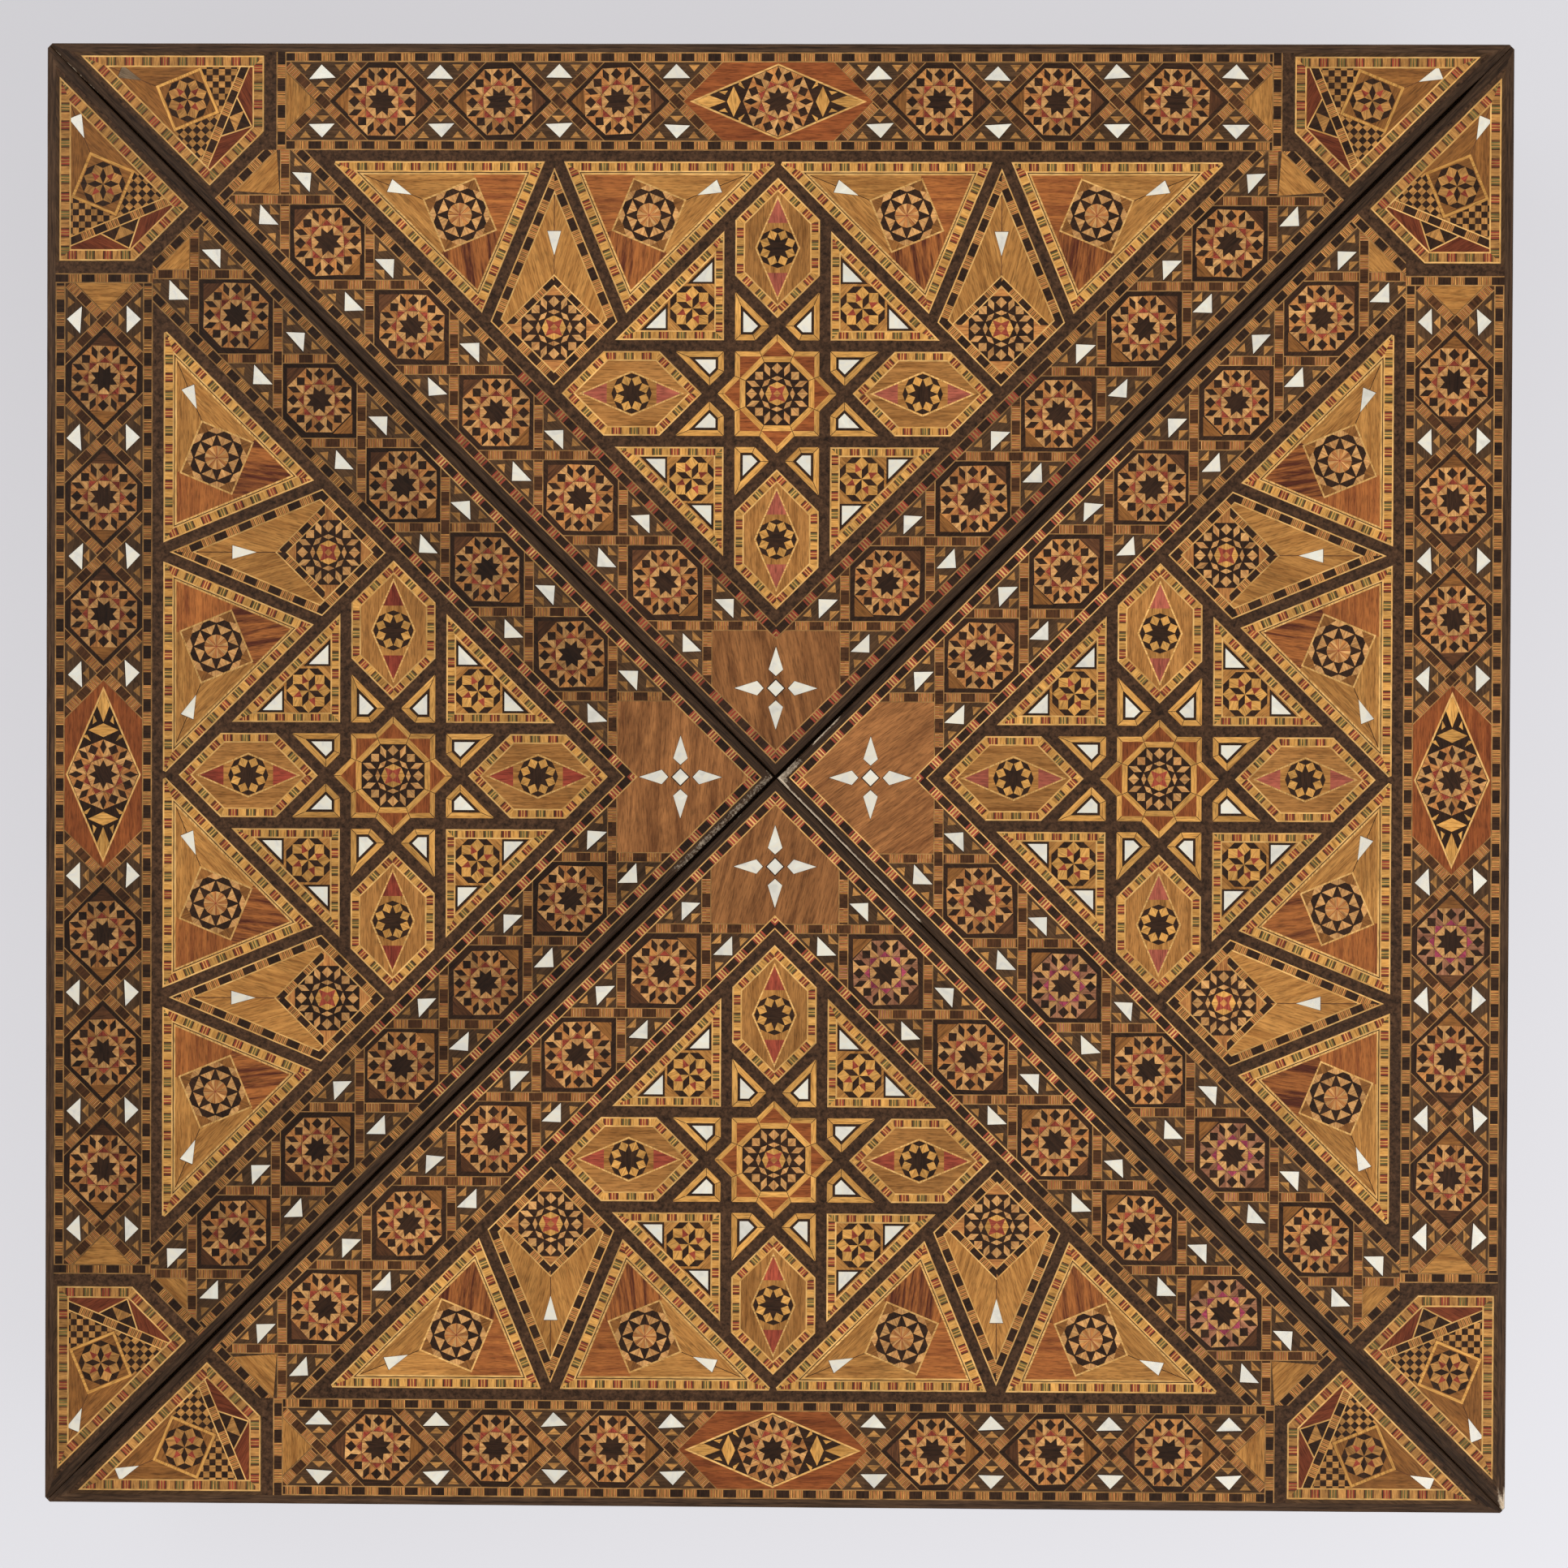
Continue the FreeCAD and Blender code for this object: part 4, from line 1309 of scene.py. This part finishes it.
def lip_mesh(name, turn, wear_and_highlight, opened):
    """Closed ring of lipping round one leaf; the third argument lists rubbed stretches, some of them painted
    highlights on the seam edges.
    """
    chance = random.Random(name)
    low = leaf_low + lip_lift
    rings = []
    for outer, seam, cut, drop in lip_section:
        corners = outline([
            level(outer),
            (-1.0, 1.0, cut - half),
            beside_right_seam(seam + opened[1] * (1 - seam / lip_seam)),
            beside_left_seam(seam + opened[0] * (1 - seam / lip_seam)),
            (1.0, 1.0, cut - half),
        ])
        row = []
        steps = (corner_steps, seam_steps, seam_steps, corner_steps, outer_steps)
        for (start, end), count in zip(pairs(corners), steps):
            for k in range(count):
                part = k / count
                u = start[0] + part * (end[0] - start[0])
                v = start[1] + part * (end[1] - start[1])
                # The seams close up where the leaf stands out beyond the case
                if seam < 0.5 and half - v - abs(u) < 1.5:
                    gap = 0.14 + 0.95 * opened[1 if u > 0 else 0]
                    share = min(1.0, max(0.0, (closing_from - v) / closing_run))
                    close = gap / root_two * share
                    u += math.copysign(close, u)
                    v += close
                row.append((u, v, drop, count == seam_steps))
        rings.append(row)
    count = len(rings[0])
    rough = [chance.random() for _ in range(count)]
    points = []
    bare_and_highlight = []
    tones = []
    grain = []
    for number, row in enumerate(rings):
        for k, (u, v, drop, by_seam) in enumerate(row):
            uneven = (rough[k - 1] + rough[k] + rough[(k + 1) % count]) / 3
            rub_and_highlight = 0.8 * max(0.0, uneven - 0.5) if number in edge_lines else 0.0
            if number == 0:
                z = low + max(0.0, bevel_high * (1 - v / bevel_deep))
            elif number == inner_line:
                z = low + (bevel_inside if v < lip_outer else 0.0)
            else:
                z = leaf_high - drop - 0.25 * uneven * (number in edge_lines)
                for start, end, reach, sink, amount in wear_and_highlight:
                    run = Vector(end) - Vector(start)
                    along = (Vector((u, v)) - Vector(start)).dot(run) / run.length_squared
                    nearest = min(1.0, max(0.0, along)) * run
                    near = 1 - (Vector((u, v)) - Vector(start) - nearest).length / reach
                    if near > 0 and number < inner_line - 1:
                        z -= sink * near * (0.4 + chance.random())
                    # Paler along the listed stretches: wear and chips, and painted highlights on the seam
                    # edges
                    if near > 0 and 1 < number < inner_line - 1:
                        rub_and_highlight += amount * min(1.0, 2 * near) * (0.6 + 0.4 * chance.random())
            points.append(turn(u, v - half, z))
            bare_and_highlight.append(min(2.0, rub_and_highlight))
            # Beside the seams the lipping is darker: painted shade of the gaps, with dirt
            tones.append(seam_shade_tone if by_seam else outer_tone)
            grain.extend((3.0 * k, 1.3 * number + z, 0.0))
    faces = []
    rows = [[number * count + k for k in range(count)] for number in range(len(rings))]
    for lower, upper in pairs(rows):
        faces.extend([a, b, d, c] for (a, b), (c, d) in zip(pairs(lower), pairs(upper)))
    mesh = bpy.data.meshes.new(name)
    mesh.from_pydata(points, [], faces)
    mesh.attributes.new("bare_and_highlight", "FLOAT", "POINT").data.foreach_set("value", bare_and_highlight)
    mesh.attributes.new("tone", "FLOAT", "POINT").data.foreach_set("value", tones)
    mesh.attributes.new("grain", "FLOAT_VECTOR", "POINT").data.foreach_set("vector", grain)
    mesh.materials.append(lipping)
    return mesh


for name, degrees in sides.items():
    leaf = "leaf_" + name
    mesh = lip_mesh(leaf + "_lipping", turn_about(degrees), lip_wear_and_highlight[name], seam_open[name])
    new_piece(leaf + "_lipping", mesh, leaf, (leaf + "_lips",))


# Cloth: linings of the compartments and leaves, and the felt under the base
def inside(spot, shape):
    """Whether a point lies in an anticlockwise convex outline."""
    return all((b[0] - a[0]) * (spot[1] - a[1]) > (b[1] - a[1]) * (spot[0] - a[0]) for a, b in pairs(shape))


def scattered(shape, step, stray, chance):
    """Points strewn over an outline, each a little off its place in a square grid."""
    low_u, low_v = [min(p[k] for p in shape) for k in (0, 1)]
    high_u, high_v = [max(p[k] for p in shape) for k in (0, 1)]
    made = []
    u = low_u + step / 2
    while u < high_u:
        v = low_v + step / 2
        while v < high_v:
            made.append((u + chance.uniform(-stray, stray), v + chance.uniform(-stray, stray)))
            v += step
        u += step
    return made


def cloth_mesh(name, shape, shown, back, turn, material, seed):
    """Cut cloth with a rounded edge and a slightly uneven face; shown and back are its heights."""
    chance = random.Random(seed)
    thick = back - shown
    # Rounded edge: how far in, and how much of the thickness lies above it
    rings = [(0.0, 1.0), (0.0, 0.55), (0.25, 0.18), (0.9, 0.0)]
    edge = inset(shape, rings[-1][0])
    count = len(edge)
    # Loose points in the face, about 14 mm apart and 6 mm from its edge
    inner = inset(shape, 6.0)
    loose = [spot for spot in scattered(edge, 14.0, 3.0, chance) if inside(spot, inner)]
    made = delaunay_2d_cdt([Vector(p) for p in edge + loose], [], [list(range(count))], 1, 1e-4, True)
    points = []
    for margin, part in rings[:3]:
        points.extend(turn(p[0], p[1], shown + thick * part) for p in inset(shape, margin))
    base = len(points)
    owner = []
    for k, p in enumerate(made[0]):
        sink = 0.0 if k < count else chance.uniform(0.0, 0.12) * thick
        points.append(turn(p[0], p[1], shown + sink))
        owner.append(made[3][k][0] if made[3][k] else -1)
    top = {number: base + k for k, number in enumerate(owner) if number >= 0}
    faces = [[base + k for k in face] for face in made[2]]
    rows = [[ring * count + k for k in range(count)] for ring in range(3)] + [[top[k] for k in range(count)]]
    for lower, upper in zip(rows, rows[1:]):
        faces.extend([a, b, d, c] for (a, b), (c, d) in zip(pairs(lower), pairs(upper)))
    faces.append(list(reversed(rows[0])))
    mesh = bpy.data.meshes.new(name)
    mesh.from_pydata(points, [], faces)
    if thick > 0:
        mesh.flip_normals()
    mesh.materials.append(material)
    mesh.polygons.foreach_set("use_smooth", [True] * len(mesh.polygons))
    return mesh


def lining_cut(outer, seam):
    """Triangle below the front leaf, this far inside its outer edge and its seams, in the box's plan."""
    shape = outline([level(outer), beside_right_seam(seam), beside_left_seam(seam)])
    return [(u, v - half) for u, v in shape]


floor_cut = lining_cut(outer=19.5, seam=5.0)
leaf_cut = lining_cut(outer=18.0, seam=9.0)
velvet_thickness = 1.0
felt_corner = 3.0
base_reach = -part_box("base_felt")[0].x / mm
base_cut = []
for degrees in sides.values():
    for step in (-30, 0, 30):
        corner = polar(base_reach * root_two - felt_corner * root_two, degrees + 45)
        bend = polar(felt_corner, degrees + 45 + step)
        base_cut.append((corner[0] + bend[0], corner[1] + bend[1]))
lining_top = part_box("compartment_lining_front")[1].z / mm
for name, degrees in sides.items():
    turn = turn_about(degrees)
    title = "compartment_velvet_" + name
    mesh = cloth_mesh(title, floor_cut, lining_top, floor_high, turn, velvet, title)
    piece = new_piece(title, mesh, "carcass", ("compartment_lining_" + name,))
    title = "leaf_" + name + "_velvet"
    mesh = cloth_mesh(title, leaf_cut, leaf_low, leaf_low + velvet_thickness, turn, velvet, title)
    piece = new_piece(title, mesh, "leaf_" + name, ("leaf_" + name + "_lining",))
base_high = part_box("base_felt")[1].z / mm
mesh = cloth_mesh("base_felt_sheet", base_cut, 0.0, base_high, turn_about(0), felt, "felt")
piece = new_piece("base_felt_sheet", mesh, "carcass", ("base_felt",))


# Hinge screws: slotted countersunk heads, three in each flap
# Half of a head, beside its slot: radius and height of each line of its section, and points on a line
head_section = [(1.2, -0.7), (1.55, -0.35), (1.75, 0.0), (1.6, 0.1), (0.9, 0.13)]
head_points = 9
slot_side = 0.28


def screw_heads(name, places, facing, degrees):
    """Screw heads at places on a flap, each with its slot at its own angle."""
    chance = random.Random(name)
    built = bmesh.new()
    for place in places:
        slot = chance.uniform(0, 180)
        for half_turn in (0, 180):
            rows = []
            for reach, high in head_section:
                row = []
                for k in range(head_points):
                    x, y = polar(reach, -90 + 180 / (head_points - 1) * k)
                    row.append(built.verts.new((max(x, slot_side), y, high)))
                rows.append(row)
            for lower, upper in zip(rows, rows[1:]):
                for (a, b), (c, d) in zip(pairs(lower), pairs(upper)):
                    built.faces.new((a, b, d, c))
            built.faces.new(rows[-1])
            built.faces.new(list(reversed(rows[0])))
            angle = math.radians(slot + half_turn)
            stand = Matrix.Translation(place) @ facing @ Matrix.Rotation(angle, 4, "Z")
            bmesh.ops.transform(built, matrix=stand, verts=[v for row in rows for v in row])
    bmesh.ops.scale(built, vec=(mm, mm, mm), verts=built.verts)
    turn = Matrix.Rotation(math.radians(degrees), 3, "Z")
    bmesh.ops.rotate(built, cent=(0, 0, 0), matrix=turn, verts=built.verts)
    bmesh.ops.recalc_face_normals(built, faces=built.faces)
    mesh = bpy.data.meshes.new(name)
    built.to_mesh(mesh)
    built.free()
    mesh.materials.append(brass)
    return mesh


# Places of the screws, in millimetres
hinge_middles = [-150.0, 150.0]
screw_offsets = [-12.3, 0.0, 12.3]
leaf_screw_line = -239.5
wall_screw_height = 88.8
downwards = Matrix.Rotation(math.pi, 4, "X")
outwards = Matrix.Rotation(math.pi / 2, 4, "X")
for name, degrees in sides.items():
    spots = [middle + offset for middle in hinge_middles for offset in screw_offsets]
    title = "leaf_" + name + "_hinge_screws"
    mesh = screw_heads(title, [(x, leaf_screw_line, leaf_low) for x in spots], downwards, degrees)
    new_piece(title, mesh, "leaf_" + name)
    title = "wall_hinge_screws_" + name
    mesh = screw_heads(title, [(x, -case_half, wall_screw_height) for x in spots], outwards, degrees)
    new_piece(title, mesh, "carcass")

# Floor: a wide sheet of matt paper
floor_reach = 60
floor_edge = rectangle(-floor_reach, -floor_reach, floor_reach, floor_reach)
floor_mesh = bpy.data.meshes.new("studio_floor")
floor_mesh.from_pydata([(x, y, 0) for x, y in floor_edge], [], [[0, 1, 2, 3]])
studio_floor = bpy.data.objects.new("studio_floor", floor_mesh)
bpy.context.scene.collection.objects.link(studio_floor)
paper, paper_tree, paper_shader = new_material("studio_paper_matt")
paper_shader.inputs["Base Color"].default_value = linear("#DEDFE3")
paper_shader.inputs["Roughness"].default_value = 0.9
paper_shader.inputs["Specular IOR Level"].default_value = 0.0
# Greyer at the back left, as in the photograph
# Painted shade: the paper's own colour darkens towards the back left, standing for light falling off across
# it
slope = add_node(
    paper_tree, "ShaderNodeVectorMath", {"operation": "DOT_PRODUCT"}, {1: (0.51, -0.86, 0.0)},
    {0: add_node(paper_tree, "ShaderNodeTexCoord").outputs["Object"]},
)
fall = add_node(
    paper_tree, "ShaderNodeMapRange", inputs={"From Min": -0.4, "From Max": 0.4},
    links={"Value": slope.outputs["Value"]},
)
paper_colour_painted_falloff = add_node(
    paper_tree, "ShaderNodeMix", {"data_type": "RGBA"}, {6: linear("#D0CED2"), 7: linear("#F1F0F5")},
    {0: fall.outputs["Result"]},
)
# The camera, metal and glass see the paper nearly as pale as it is written; the box's shadow stays
rays = add_node(paper_tree, "ShaderNodeLightPath")
seen = rays.outputs["Is Camera Ray"]
for kind in ("Is Glossy Ray", "Is Transmission Ray"):
    seen = add_node(
        paper_tree, "ShaderNodeMath", {"operation": "MAXIMUM"}, links={0: seen, 1: rays.outputs[kind]},
    ).outputs["Value"]
lift = add_node(paper_tree, "ShaderNodeMath", {"operation": "MULTIPLY"}, {1: 0.8}, {0: seen})
glow = add_node(
    paper_tree, "ShaderNodeEmission", inputs={"Strength": 1.0}, links={"Color": paper_colour_painted_falloff.outputs[2]},
)
mixed = add_node(
    paper_tree, "ShaderNodeMixShader",
    links={0: lift.outputs["Value"], 1: paper_shader.outputs["BSDF"], 2: glow.outputs["Emission"]},
)
for node in paper_tree.nodes:
    if node.type == "OUTPUT_MATERIAL":
        paper_tree.links.new(mixed.outputs["Shader"], node.inputs["Surface"])
floor_mesh.materials.append(paper)

# Light: an even white room and two large soft lamps
world = bpy.data.worlds.new("studio_room")
world.use_nodes = True
bpy.context.scene.world = world
for node in world.node_tree.nodes:
    if node.type == "BACKGROUND":
        node.inputs["Color"].default_value = linear("#FFFFFF")
        node.inputs["Strength"].default_value = 0.7
for title, place, power in (("lamp_left", (-0.9, 0.7, 1.7), 10.0), ("lamp_right", (0.9, -0.5, 1.7), 9.0)):
    lamp = bpy.data.lights.new(title, "AREA")
    lamp.energy = power
    lamp.size = 1.2
    stand = bpy.data.objects.new(title, lamp)
    bpy.context.scene.collection.objects.link(stand)
    stand.location = place
    stand.rotation_euler = (Vector((0, 0, 0.1)) - Vector(place)).to_track_quat("-Z", "Y").to_euler()

# Camera, looking straight down as in the photograph
camera_data = bpy.data.cameras.new("camera")
camera_data.lens = 85.0
camera_data.sensor_width = 36.0
camera = bpy.data.objects.new("camera", camera_data)
bpy.context.scene.collection.objects.link(camera)
camera.location = (0.025, 0.0132, 1.3739)
camera.rotation_euler = [math.radians(a) for a in (-0.695, 1.003, 0.243)]
bpy.context.scene.camera = camera

bpy.context.scene.view_settings.view_transform = "Standard"
